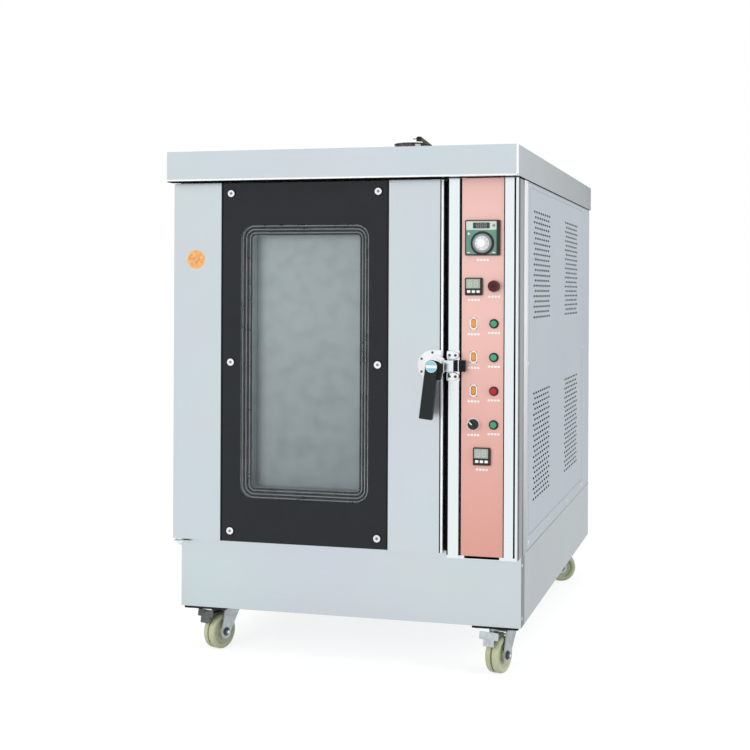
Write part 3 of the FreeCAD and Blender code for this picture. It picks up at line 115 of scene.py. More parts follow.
class OvenColours(PropertyGroup):
    """Colours of the oven's finishes."""
    steel: colour((0.655, 0.725, 0.765), "Sheets of the door, rear, cap and plinth")
    # The sides' brighter, bluer tint is painted light on the same steel as the front.
    side_steel: colour((0.675, 0.765, 0.85), "Sheets of the sides")
    bright_steel: colour((0.865, 0.925, 0.945), "Jamb, corner post and latch bolt")
    chamber: colour((0.52, 0.54, 0.55), "Liner, racks and inner pan")
    zinc: colour((0.64, 0.69, 0.71), "Plated casters and frame")
    # The rose sheet's darker lower end is painted shade.
    rose: colour((0.81, 0.50, 0.452), "Upper end of the painted sheet behind the controls")
    rose_low: colour((0.69, 0.325, 0.272), "Lower end of the painted sheet")
    border: colour((0.0095, 0.0125, 0.0155), "Black print round the window")
    # The hazy pane's lighter upper end is painted light and its darker lower end painted shade.
    window: colour((0.272, 0.315, 0.328), "Upper end of the hazy inner pane")
    window_low: colour((0.178, 0.213, 0.224), "Lower end of the hazy inner pane")
    enamel: colour((0.115, 0.265, 0.205), "Green face of the temperature controller")
    amber: colour((0.75, 0.28, 0.022), "Keys of the rocker switches")
    green: colour((0.02, 0.33, 0.17), "Lenses of the green pilot lamps")
    red: colour((0.50, 0.004, 0.022), "Lens of the red pilot lamp")
    maroon: colour((0.07, 0.003, 0.006), "Dome of the buzzer")
    grip: colour((0.012, 0.015, 0.016), "Moulded lever of the door's handle")
    nylon: colour((0.53, 0.565, 0.385), "Wheels of the casters")
    badge: colour((0.66, 0.22, 0.03), "Blank round badge on the door")
    hub: colour((0.20, 0.55, 0.68), "Blank disc on the handle's hub")


class OvenDoorSizes(PropertyGroup):
    """Sizes of the door's fine pieces."""
    pane_edge: length(0.0008, "Ground edge of the panes")
    corner: length(0.038, "Corner radius of the window in the black border")
    beads: count(3, "Pale beads round the window")
    bead_width: length(0.0046, "Width of one bead")
    bead_rise: length(0.0022, "Height of one bead above its step")
    bead_pitch: length(0.0096, "From one bead to the next")
    first_step: length(0.0026, "Depth of the first step behind the glass")
    step_drop: length(0.0032, "Further depth of each step")
    strip_width: length(0.0044, "Silicone strip beside the glass")
    strip_rise: length(0.0012, "Height of the silicone strip")
    # The fold is painted white as a highlight, and the groove is a dark strip of painted shade.
    fold_width: length(0.0057, "Bright fold along the door's free edge")
    groove_width: length(0.0036, "Dark groove beside the fold")
    fold_rise: length(0.0010, "Height of the fold above the door's face")
    stud_dome: length(0.0016, "Rounded edge of a stud's head")
    stud_mark: length(0.0048, "Radius of the dimple in a stud's head")
    badge_radius: length(0.027, "Blank badge on the left stile")
    badge_drop: length(0.217, "Badge below the door's upper edge")
    badge_inset: length(0.069, "Badge from the door's left edge")


class OvenControlSizes(PropertyGroup):
    """Sizes of the controls' fine pieces."""
    edge: length(0.0014, "Rounded edge of an instrument's frame")
    frame: length(0.0026, "Width of an instrument's frame")
    recess: length(0.0014, "Face behind the frame")
    band: length(0.0235, "Pale band across the controller's top")
    display_width: length(0.046, "Dark display of the controller")
    display_height: length(0.016, "Dark display of the controller")
    screen_height: length(0.0255, "Pale screen of a timer")
    digit: length(0.0115, "Digits of the controller")
    timer_digit: length(0.0165, "Digits of the timers")
    ticks: count(41, "Graduations round the dial")
    mark_length: length(0.0350, "Blank marks under a control")
    mark_height: length(0.0056, "Blank marks under a control")
    mark_drop: length(0.0120, "From a control to the mark under it")
    pointer: length(0.0036, "Small printed marks on the controller's face")
    lens_crown: length(0.0022, "Height of a lamp's crowned lens")
    key_dish: length(0.0014, "Hollow of a rocker's face")


class OvenTrimSizes(PropertyGroup):
    """Sizes of the casing's fine pieces."""
    # The cap's hem and upright corner are painted white as highlights.
    hem_height: length(0.0050, "Bright hem along the cap's lower front edge")
    hem_rise: length(0.0016, "Height of the hem above the cap's face")
    corner_width: length(0.0060, "Bright upright corner of the cap")
    # The dark strips under the cap are a seal and painted shade under its overhang.
    seal_drop: length(0.0022, "Dark seal strip under the cap's front")
    # The dark strips in the gaps beside the painted panel are painted shade.
    panel_gap: length(0.0035, "From the jamb to the painted panel")
    # The lip is a dark gasket that also paints the shade in the gap beside the door.
    lip_width: length(0.0030, "Dark lip on the jamb's edge beside the door")
    fold_front: length(0.088, "Side fold, from the corner post's front")
    # The side's bright fold is a painted highlight that turns to painted shade lower down.
    fold_width: length(0.055, "Bright fold along the side's front edge")
    # The post's dark edge is painted shade.
    post_edge: length(0.026, "Dark outer edge of the corner post, from its front")
    # The plinth's darker fold is painted shade.
    foot_fold: length(0.055, "Fold at the plinth's front corner")
    fold_rise: length(0.0024, "Height of the side fold")
    post_line: length(0.0095, "Dark seam from the corner post's outer edge")
    seam_width: length(0.0024, "Width of a dark seam")
    # The dark sheets behind the vents are painted shade.
    gauze_front: length(0.106, "Gauze behind the vents, from the side's front edge")
    gauze_rear: length(0.234, "Gauze behind the vents, from the side's rear edge")
    gauze_rim: length(0.066, "Gauze behind the vents, from the side's upper and lower edges")
    wool_crown: length(0.004, "Bulge of the wool batts")


class OvenCasterSizes(PropertyGroup):
    """Sizes of the casters' fine pieces."""
    tread_edge: length(0.008, "Rounded shoulder of a wheel")
    groove_width: length(0.0056, "Groove round a wheel's tread")
    groove_depth: length(0.0024, "Groove round a wheel's tread")
    dish_radius: length(0.037, "Hollow in a wheel's side")
    dish_depth: length(0.0055, "Hollow in a wheel's side")
    leg_edge: length(0.0008, "Rounded edge of the stamped fork")
    nut_radius: length(0.0092, "Round nut at each end of the axle")


class OvenStageValues(PropertyGroup):
    """Camera, lamps and floor."""
    place: bpy.props.FloatVectorProperty(description="Camera's place", size=3,
                                         default=(1.1212, -4.4621, 1.0545), subtype="TRANSLATION")
    turn: amount(math.radians(15.505), "Camera's heading to the left of +Y", "ROTATION")
    roll: amount(math.radians(0.255), "Camera's roll", "ROTATION")
    lens: amount(66.40, "Focal length in millimetres", "CAMERA")
    shift: amount(-0.1128, "Upright shift of the picture")
    ambient: amount(0.62, "Even light from all round")
    far_tone: amount(0.70, "How bright the room behind the oven looks in polished sheet")
    key: amount(120.0, "Power of the lamp before the oven", "POWER")
    fill: amount(77.0, "Power of the lamp on the right", "POWER")
    near_floor: amount(0.97, "How bright the floor before the oven looks in polished sheet")
    far_floor: amount(0.69, "How bright the floor beside and behind it looks in polished sheet")
    glow: amount(0.77, "How far the floor is lifted to white where it is seen")


GROUPS = {"oven_colours": OvenColours, "oven_door": OvenDoorSizes, "oven_controls": OvenControlSizes,
          "oven_trim": OvenTrimSizes, "oven_casters": OvenCasterSizes, "oven_stage": OvenStageValues}


# Shapes

def outline(points, radius, inset=0.0):
    """A polygon with round corners, drawn in by an inset.

    Each corner moves along the bisector of its edges by the inset over the sine of its half angle.
    Its arc swings at a steady angle from the tangent point on one edge to that on the other.
    """
    corner = np.asarray(points, float)
    before = np.roll(corner, 1, axis=0) - corner
    after = np.roll(corner, -1, axis=0) - corner
    before /= np.linalg.norm(before, axis=1, keepdims=True)
    after /= np.linalg.norm(after, axis=1, keepdims=True)
    turn = np.sign(after[:, 0] * before[:, 1] - after[:, 1] * before[:, 0])[:, None]
    half = np.arccos(np.clip((before * after).sum(axis=1), -1.0, 1.0))[:, None] / 2
    bisector = before + after
    bisector /= np.linalg.norm(bisector, axis=1, keepdims=True)
    corner = corner + bisector * turn * inset / np.sin(half)
    bend = np.maximum(np.broadcast_to(radius, len(corner))[:, None] - turn * inset, LEAST_RADIUS)
    centre = corner + bisector * bend / np.sin(half)
    start = corner + before * bend / np.tan(half) - centre
    end = corner + after * bend / np.tan(half) - centre
    sweep = math.pi - 2 * half
    part = np.linspace(0.0, 1.0, CORNER_POINTS)
    first = np.sin((1 - part) * sweep)[:, :, None] * start[:, None, :]
    last = np.sin(part * sweep)[:, :, None] * end[:, None, :]
    arcs = (first + last) / np.sin(sweep)[:, :, None]
    return (centre[:, None, :] + arcs).reshape(-1, 2)


def corners(x0, x1, y0, y1):
    """A rectangle's corners, in order round it."""
    return [(x0, y0), (x1, y0), (x1, y1), (x0, y1)]


def rounded(points, radius):
    """A shape with round corners, as a function of its inset."""
    return lambda inset: outline(points, radius, inset)


def tile(x0, x1, y0, y1, radius):
    """A rectangle with round corners, as a function of its inset."""
    return rounded(corners(x0, x1, y0, y1), radius)


def front_tile(low, high, radius):
    """The front of a box as a tile."""
    return tile(low[0], high[0], low[2], high[2], radius)


def plane(depth):
    """Origin of the upright plane at this depth, on which outlines have the frame's own X and Z."""
    return 0.0, depth, 0.0


def turning(points=ROUND_POINTS):
    """Angles evenly round a circle."""
    return np.arange(points) * (2 * math.pi / points)


def ring_points(radius, centre=(0.0, 0.0)):
    """Points round a centre, at one radius or at a radius for each angle."""
    angle = turning()
    return np.asarray(centre) + np.stack([radius * np.cos(angle), radius * np.sin(angle)], axis=1)


def disc(radius, centre=(0.0, 0.0)):
    """A round shape, as a function of its inset."""
    return lambda inset: ring_points(radius - inset, centre)


def cross_radius(arm, half):
    """Radius of a cross at each angle: the farther of the edges of its two bars."""
    reach = np.maximum(np.abs(np.cos(turning())), LEAST_RADIUS)
    rise = np.maximum(np.abs(np.sin(turning())), LEAST_RADIUS)
    return np.maximum(np.minimum(arm / reach, half / rise), np.minimum(half / reach, arm / rise))


def hexagon_radius(flat):
    """Radius of a hexagon at each angle, from half its width across flats."""
    return flat / np.cos((turning() + math.pi / 6) % (math.pi / 3) - math.pi / 6)


def grid_faces(rows, columns, ring):
    """Quads between neighbouring rows of a closed grid, and a cap on each end of a solid."""
    index = np.arange(rows * columns).reshape(rows, columns)
    grid = np.vstack([index, index[:1]]) if ring else index
    here, there = grid[:-1], grid[1:]
    quads = np.stack([here, np.roll(here, -1, axis=1), np.roll(there, -1, axis=1), there], axis=-1)
    return quads.reshape(-1, 4), [] if ring else [index[0][::-1], index[-1]]


def loft(outlines, depths, place, finish, facing=FRONT, ring=False):
    """A skin through outlines that lie at these depths along the facing's outward direction.

    A point is the place, plus its two coordinates along the facing, plus its depth outwards.
    """
    flat = np.asarray(outlines, float)
    right, up = facing
    depth = np.broadcast_to(np.reshape(depths, (len(flat), -1)), flat.shape[:2])[..., None]
    points = np.asarray(place) + flat[..., :1] * right + flat[..., 1:] * up + depth * np.cross(right, up)
    return Shell(points.reshape(-1, 3), *grid_faces(*flat.shape[:2], ring), finish)


def stack(shape, profile, place, finish, facing=FRONT, ring=False, bow=None):
    """A profile of (inset, depth) pairs carried round a shape, bowed by a function of the place."""
    outlines = np.array([shape(inset) for inset, _ in profile])
    depths = np.array([depth for _, depth in profile])[:, None]
    return loft(outlines, depths if bow is None else depths + bow(outlines), place, finish, facing, ring)


def prism(points, start, end, place, finish, facing=FRONT):
    """An outline drawn straight from one depth to another."""
    return loft([points, points], [start, end], place, finish, facing)


def rod(radius, start, end, place, finish, facing=FRONT):
    """A plain round bar from one depth to another."""
    return prism(ring_points(radius), start, end, place, finish, facing)


def quarter(width, low, high, points=EDGE_POINTS):
    """A quarter-round profile: insets grow by one minus the cosine, depths by the sine."""
    angle = np.linspace(0.0, math.pi / 2, points)
    return np.stack([width * (1 - np.cos(angle)), low + (high - low) * np.sin(angle)], axis=1).tolist()


def round_over(low, high, edge):
    """Profile of a solid with a quarter-round front edge."""
    return [(0.0, low)] + quarter(edge, high - edge, high)


def pill(low, high, edge):
    """Profile of a solid whose front and rear edges are quarter-round."""
    front = quarter(edge, high - edge, high)
    return [(inset, low + high - depth) for inset, depth in reversed(front)] + front


def bar(low, high, axis, radius, finish):
    """A bar with round edges that fills a box, drawn along an axis of the frame."""
    low, high = np.asarray(low, float), np.asarray(high, float)
    first, second = {"x": (1, 2), "y": (0, 2), "z": (0, 1)}[axis]
    facing = {"x": RIGHT, "y": FRONT, "z": TOP}[axis]
    along = "xyz".index(axis)
    place = np.zeros(3)
    place[along] = high[along] if axis == "y" else low[along]
    section = tile(low[first], high[first], low[second], high[second], radius)
    return stack(section, pill(0.0, high[along] - low[along], radius), place, finish, facing)


def turned(shell, axis, angle, pivot):
    """A shell turned about an axis through a pivot."""
    turn = np.array(Matrix.Rotation(angle, 3, axis))
    return shell._replace(points=(shell.points - pivot) @ turn.T + pivot)


def span(name):
    """A node's lowest and highest corner as arrays."""
    low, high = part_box(name)
    return np.array(low), np.array(high)


def middle(box):
    """A box's centre."""
    return (box[0] + box[1]) / 2


def half_width(box):
    """Half a box's width, which is the radius of a round piece."""
    return (box[1][0] - box[0][0]) / 2


def node_points(name):
    """The points of a CAD node as an array."""
    mesh = frame["nodes"][name].data
    points = np.empty(len(mesh.vertices) * 3, np.float32)
    mesh.vertices.foreach_get("co", points)
    return points.reshape(-1, 3)


def solid_boxes(name):
    """The box of each separate solid of a node.

    Points at one place share a label, and labels sink to the lowest one of each triangle until
    none changes, so that one label is left in each solid.
    """
    points = node_points(name)
    mesh = frame["nodes"][name].data
    loops = np.empty(len(mesh.loops), np.int32)
    mesh.loops.foreach_get("vertex_index", loops)
    _, place = np.unique(points.round(SAME_PLACE), axis=0, return_inverse=True)
    place = place.ravel()
    triangles = place[loops.reshape(-1, 3)]
    label = np.arange(place.max() + 1)
    settled = False
    while not settled:
        lower = label.copy()
        np.minimum.at(lower, triangles.ravel(), np.repeat(label[triangles].min(axis=1), 3))
        lower = lower[lower]
        settled = np.array_equal(lower, label)
        label = lower
    owner = label[place]
    return [(points[owner == one].min(axis=0), points[owner == one].max(axis=0))
            for one in np.unique(owner)]


def joint(name):
    """A joint's axis and place as arrays."""
    found = next(one for one in frame["joints"] if one["name"] == name)
    return np.array(found["axis"], float), np.array(found["pos_m"], float)


def piece(name, body, shells, replaces=()):
    """Joins shells into one mesh object that rides on a body and stands for CAD nodes."""
    finishes = list(dict.fromkeys(shell.finish for shell in shells))
    faces, paint, start = [], [], 0
    for shell in shells:
        added = (shell.quads + start).tolist() + [(cap + start).tolist() for cap in shell.caps]
        faces += added
        paint += [finishes.index(shell.finish)] * len(added)
        start += len(shell.points)
    mesh = bpy.data.meshes.new(name)
    mesh.from_pydata(np.concatenate([shell.points for shell in shells]).tolist(), [], faces)
    for finish in finishes:
        mesh.materials.append(bpy.data.materials[f"oven {finish}"])
    mesh.polygons.foreach_set("material_index", paint)
    work = bmesh.new()
    work.from_mesh(mesh)
    bmesh.ops.recalc_face_normals(work, faces=work.faces)
    work.to_mesh(mesh)
    work.free()
    mesh.polygons.foreach_set("use_smooth", np.ones(len(mesh.polygons), bool))
    mesh.set_sharp_from_angle(angle=SHARP_ANGLE)
    made = bpy.data.objects.new(name, mesh)
    bpy.context.scene.collection.objects.link(made)
    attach(made, body)
    if replaces:
        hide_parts(*replaces)
    return made


SCREW_DOME = math.radians(62.0)
CROSS_ARM, CROSS_HALF = 0.42, 0.11       # of the head's radius
CROSS_FLOOR = 0.45                       # of the head's rise


def screw_shells(place, facing, radius, rise, finish, recess):
    """A domed screw head with a cross recess: circles rise to a dome, then a cross sinks into it."""
    angle = np.linspace(0.0, SCREW_DOME, EDGE_POINTS)
    circles = [ring_points(radius * np.cos(one)) for one in angle]
    heights = (rise * np.sin(angle) / math.sin(SCREW_DOME)).tolist()
    cross = ring_points(cross_radius(radius * CROSS_ARM, radius * CROSS_HALF))
    floor = rise * CROSS_FLOOR
    head = loft([ring_points(radius)] + circles + [cross, cross], [0.0] + heights + [rise, floor], place,
                finish, facing)
    # The cross is lined with a dark finish: painted shade in the recess.
    return [head, prism(cross, floor * 0.9, floor + SKIN / 3, place, recess, facing)]


# Finishes

def node(tree, kind, inputs=(), **settings):
    """Adds a node, sets it up, and links or sets its inputs."""
    made = tree.nodes.new(kind)
    for key, value in settings.items():
        setattr(made, key, value)
    for key, value in dict(inputs).items():
        if isinstance(value, bpy.types.NodeSocket):
            tree.links.new(value, made.inputs[key])
        else:
            made.inputs[key].default_value = value
    return made


def maths(tree, operation, *values):
    """The output of a sum, product or the like of sockets and numbers."""
    return node(tree, "ShaderNodeMath", dict(enumerate(values)), operation=operation).outputs[0]


def mixed(tree, factor, first, second, mode="MIX"):
    """A colour between two colours."""
    return node(tree, "ShaderNodeMix", {0: factor, 6: first, 7: second}, data_type="RGBA",
                blend_type=mode).outputs[2]


def noise(tree, vector, scale, detail=2.0):
    """A noise node of this scale in each metre."""
    return node(tree, "ShaderNodeTexNoise", {"Vector": vector, "Scale": scale, "Detail": detail})


SOCKET_KINDS = {"Vector": "Vector", "Stretch": "Vector", "Normal": "Vector", "Colour": "Color",
                "Stain": "Color"}


def new_group(name, inputs):
    """An empty node group with its sockets, plain numbers by default; returns its tree, entries and exits."""
    tree = bpy.data.node_groups.new(name, "ShaderNodeTree")
    for way, labels in (("INPUT", inputs), ("OUTPUT", "Colour Roughness Normal")):
        for label in labels.split():
            kind = SOCKET_KINDS.get(label, "Float")
            tree.interface.new_socket(label, in_out=way, socket_type=f"NodeSocket{kind}")
    return tree, tree.nodes.new("NodeGroupInput").outputs, tree.nodes.new("NodeGroupOutput").inputs


NOISE_MIDDLE = 0.5
CLOUD_SCALE, SLOW_SCALE, GRADE_SCALE = 3.1, 22.0, 4.0    # noises in each metre
FINE_BUMP, BUMP = 0.0003, 0.0004         # depths of bumps in metres
FADE_FROM, FADE_TO = -0.81, 0.8          # depths between which sheets darken towards the rear in painted shade
SHADE_SWING, SHADE_LEAST = 0.36, 0.82    # brightness of a moulded skin
GLOSS_SWING, GRADE_SWING, GRADE_BUMP = 0.25, 0.1, 0.02
SPECK_RATIO = 7.0                        # specks to each patch of a stain
STAIN_FROM, STAIN_TO = 0.16, 0.42        # noise between which a stain comes in
GRADE_TOP = 0.65                         # share of a node's height below which it is graded


def leave(tree, exits, tint, rough, height, strength, distance):
    """Sends a group's colour, roughness and bumped normal to its outputs."""
    bump = node(tree, "ShaderNodeBump", {"Height": height, "Strength": strength, "Distance": distance})
    tree.links.new(tint, exits["Colour"])
    tree.links.new(rough, exits["Roughness"])
    tree.links.new(bump.outputs[0], exits["Normal"])


def brushed_group():
    """Brushed sheet: noise drawn out along the grain shades and tilts it, slow noise clouds it.

    It darkens a little from the oven's front to its rear: painted shade.
    """
    tree, entry, exits = new_group("brushed sheet", "Vector Colour Roughness Grain Clouds Stretch Fade")
    drawn = node(tree, "ShaderNodeVectorMath", {0: entry["Vector"], 1: entry["Stretch"]},
                 operation="MULTIPLY")
    grain = noise(tree, drawn.outputs[0], 1.0).outputs[0]
    clouds = noise(tree, entry["Vector"], CLOUD_SCALE, 3.0)
    swing = maths(tree, "SUBTRACT", grain, NOISE_MIDDLE)
    along = node(tree, "ShaderNodeSeparateXYZ", {0: entry["Vector"]}).outputs[1]
    # Painted shade: the sheet darkens from the front towards the rear.
    rearward = node(tree, "ShaderNodeMapRange", {0: along, 1: FADE_FROM, 2: FADE_TO}).outputs[0]
    fade = maths(tree, "SUBTRACT", 1.0, maths(tree, "MULTIPLY", rearward, entry["Fade"]))
    shade = maths(tree, "MULTIPLY", maths(tree, "MULTIPLY_ADD", swing, entry["Grain"], 1.0), fade)
    tint = mixed(tree, entry["Clouds"], entry["Colour"], clouds.outputs[1], "OVERLAY")
    tint = node(tree, "ShaderNodeVectorMath", {0: tint, "Scale": shade}, operation="SCALE").outputs[0]
    cloudy = maths(tree, "SUBTRACT", clouds.outputs[0], NOISE_MIDDLE)
    rough = maths(tree, "ADD", maths(tree, "MULTIPLY_ADD", swing, entry["Grain"], entry["Roughness"]),
                  maths(tree, "MULTIPLY", cloudy, entry["Clouds"]))
    leave(tree, exits, tint, rough, grain, entry["Grain"], BUMP)
    return tree


def moulded_group():
    """Moulded skin: fine noise dimples it, and slow noise shades it and its gloss."""
    tree, entry, exits = new_group("moulded skin", "Vector Colour Roughness Fineness Depth")
    fine = noise(tree, entry["Vector"], entry["Fineness"]).outputs[0]
    slow = noise(tree, entry["Vector"], SLOW_SCALE, 3.0).outputs[0]
    shade = maths(tree, "MULTIPLY_ADD", slow, SHADE_SWING, SHADE_LEAST)
    tint = node(tree, "ShaderNodeVectorMath", {0: entry["Colour"], "Scale": shade}, operation="SCALE")
    swing = maths(tree, "SUBTRACT", slow, NOISE_MIDDLE)
    rough = maths(tree, "MULTIPLY_ADD", swing, GLOSS_SWING, entry["Roughness"])
    leave(tree, exits, tint.outputs[0], rough, fine, entry["Depth"], FINE_BUMP)
    return tree


def stained_group():
    """Stained skin: two noises lay a second colour over the first in patches and specks."""
    tree, entry, exits = new_group("stained skin", "Vector Colour Stain Roughness Amount Size")
    patches = noise(tree, entry["Vector"], entry["Size"], 5.0).outputs[0]
    specks = noise(tree, entry["Vector"], maths(tree, "MULTIPLY", entry["Size"], SPECK_RATIO)).outputs[0]
    both = maths(tree, "MULTIPLY", patches, specks)
    mask = node(tree, "ShaderNodeMapRange", {0: both, 1: STAIN_FROM, 2: STAIN_TO})
    cover = maths(tree, "MULTIPLY", mask.outputs[0], entry["Amount"])
    tint = mixed(tree, cover, entry["Colour"], entry["Stain"])
    rough = maths(tree, "MULTIPLY_ADD", cover, GLOSS_SWING, entry["Roughness"])
    leave(tree, exits, tint, rough, both, entry["Amount"], BUMP)
    return tree


def graded_group():
    """Graded skin: one colour at the upper end turns to a second at the lower end, as painted shade, a little
    clouded.
    """
    tree, entry, exits = new_group("graded skin", "Vector Colour Stain Roughness Low High")
    height = node(tree, "ShaderNodeSeparateXYZ", {0: entry["Vector"]}).outputs[2]
    slow = noise(tree, entry["Vector"], GRADE_SCALE).outputs[0]
    share = node(tree, "ShaderNodeMapRange", {0: height, 1: entry["Low"], 2: entry["High"]}).outputs[0]
    share = maths(tree, "MULTIPLY_ADD", maths(tree, "SUBTRACT", slow, NOISE_MIDDLE), GRADE_SWING, share)
    tint = mixed(tree, share, entry["Stain"], entry["Colour"])
    rough = maths(tree, "MULTIPLY_ADD", slow, GRADE_SWING, entry["Roughness"])
    leave(tree, exits, tint, rough, slow, GRADE_BUMP, FINE_BUMP)
    return tree


def new_finish(name, group, values, roughness, metallic=0.0, **sockets):
    """A material: a shared surface group feeds the shader, and the other sockets are constants."""
    material = bpy.data.materials.new(f"oven {name}")
    material.use_nodes = True
    tree = material.node_tree
    shader = tree.nodes["Principled BSDF"]
    coordinates = tree.nodes.new("ShaderNodeTexCoord")
    surface = tree.nodes.new("ShaderNodeGroup")
    surface.node_tree = bpy.data.node_groups[group]
    tree.links.new(coordinates.outputs["Object"], surface.inputs["Vector"])
    surface.inputs["Roughness"].default_value = roughness
    for key, value in values.items():
        surface.inputs[key].default_value = (*value, 1.0) if key in ("Colour", "Stain") else value
    for output, entry in (("Colour", "Base Color"), ("Roughness", "Roughness"), ("Normal", "Normal")):
        tree.links.new(surface.outputs[output], shader.inputs[entry])
    shader.inputs["Metallic"].default_value = metallic
    for key, value in sockets.items():
        shader.inputs[key.replace("_", " ").title().replace("Ior", "IOR")].default_value = value
    return material


def sheet_steel(name, tint, stretch, roughness=0.30, grain=0.05, clouds=0.16, fade=0.0):
    """Stainless sheet, its grain drawn out along the least of the stretches."""
    return new_finish(name, "brushed sheet", {"Colour": tint, "Grain": grain, "Clouds": clouds,
                                              "Stretch": stretch, "Fade": fade}, roughness, 1.0)


def moulded(name, tint, roughness, fineness=900.0, depth=0.15, metallic=0.0, **sockets):
    """Moulded plastic, paint, rubber or plating with a fine skin."""
    return new_finish(name, "moulded skin", {"Colour": tint, "Fineness": fineness, "Depth": depth}, roughness,
                  metallic, **sockets)


def stained(name, tint, stain, roughness, cover, size, metallic=0.0, **sockets):
    """A surface with patches of a second colour."""
    return new_finish(name, "stained skin", {"Colour": tint, "Stain": stain, "Amount": cover, "Size": size},
                  roughness, metallic, **sockets)


def graded(name, tint, low_tint, roughness, body, **sockets):
    """A surface that turns from one colour to another down a CAD node: painted shade lower down."""
    low, high = span(body)
    turn = low[2] + (high[2] - low[2]) * GRADE_TOP
    return new_finish(name, "graded skin", {"Colour": tint, "Stain": low_tint, "Low": low[2], "High": turn},
                  roughness, **sockets)


# Grain: how far noise is squeezed across and drawn out along the brushing
UPRIGHT_GRAIN = (420.0, 420.0, 5.0)
LEVEL_GRAIN = (5.0, 5.0, 420.0)


def metal_finishes(colours):
    """Sheets, platings, and the painted or stained metals."""
    sheet_steel("upright steel", colours.steel, UPRIGHT_GRAIN)
    sheet_steel("level steel", colours.steel, LEVEL_GRAIN)
    # The sides' brighter, bluer steel is painted light, and they darken a little to the rear in painted
    # shade.
    sheet_steel("side steel", colours.side_steel, UPRIGHT_GRAIN, fade=0.08)
    # The cap darkens towards the rear in painted shade.
    sheet_steel("cap steel", colours.steel, LEVEL_GRAIN, fade=0.42)
    # Painted shade on the corner post's side.
    sheet_steel("shaded steel", (0.44, 0.47, 0.48), UPRIGHT_GRAIN)
    sheet_steel("bright steel", colours.bright_steel, UPRIGHT_GRAIN, 0.24, 0.04, 0.06)
    sheet_steel("chamber steel", colours.chamber, LEVEL_GRAIN, 0.34, 0.08, 0.2)
    moulded("chrome", (0.88, 0.90, 0.915), 0.10, 300.0, 0.02, 1.0)
    # The window's beads and stud dimples; the same dark alloy paints the shade on the plinth's corner fold.
    moulded("bead alloy", (0.24, 0.26, 0.27), 0.30, 500.0, 0.05, 1.0)
    stained("zinc", colours.zinc, (0.40, 0.43, 0.44), 0.36, 0.6, 30.0, 1.0)
    # Dark zinc is the nuts, screws, wire and left pedals; it also paints the shade on the corner post's outer
    # edge.
    stained("dark zinc", (0.17, 0.18, 0.18), (0.08, 0.085, 0.085), 0.42, 0.6, 30.0, 1.0)
    stained("plate black", (0.012, 0.0125, 0.013), (0.05, 0.05, 0.05), 0.6, 0.4, 40.0, specular_ior_level=0.1)
    # Painted shade: dark sheets behind the vents.
    stained("gauze", (0.006, 0.006, 0.007), (0.02, 0.02, 0.022), 0.8, 0.5, 200.0, specular_ior_level=0.0)
    stained("flue black", (0.035, 0.028, 0.022), (0.36, 0.33, 0.29), 0.34, 0.55, 26.0, 1.0)
    stained("heater", (0.10, 0.085, 0.08), (0.22, 0.12, 0.07), 0.5, 0.7, 20.0, 0.8)
    stained("copper", (0.66, 0.33, 0.20), (0.20, 0.12, 0.08), 0.32, 0.5, 24.0, 1.0)
    stained("motor paint", (0.09, 0.15, 0.22), (0.04, 0.06, 0.08), 0.42, 0.4, 18.0)


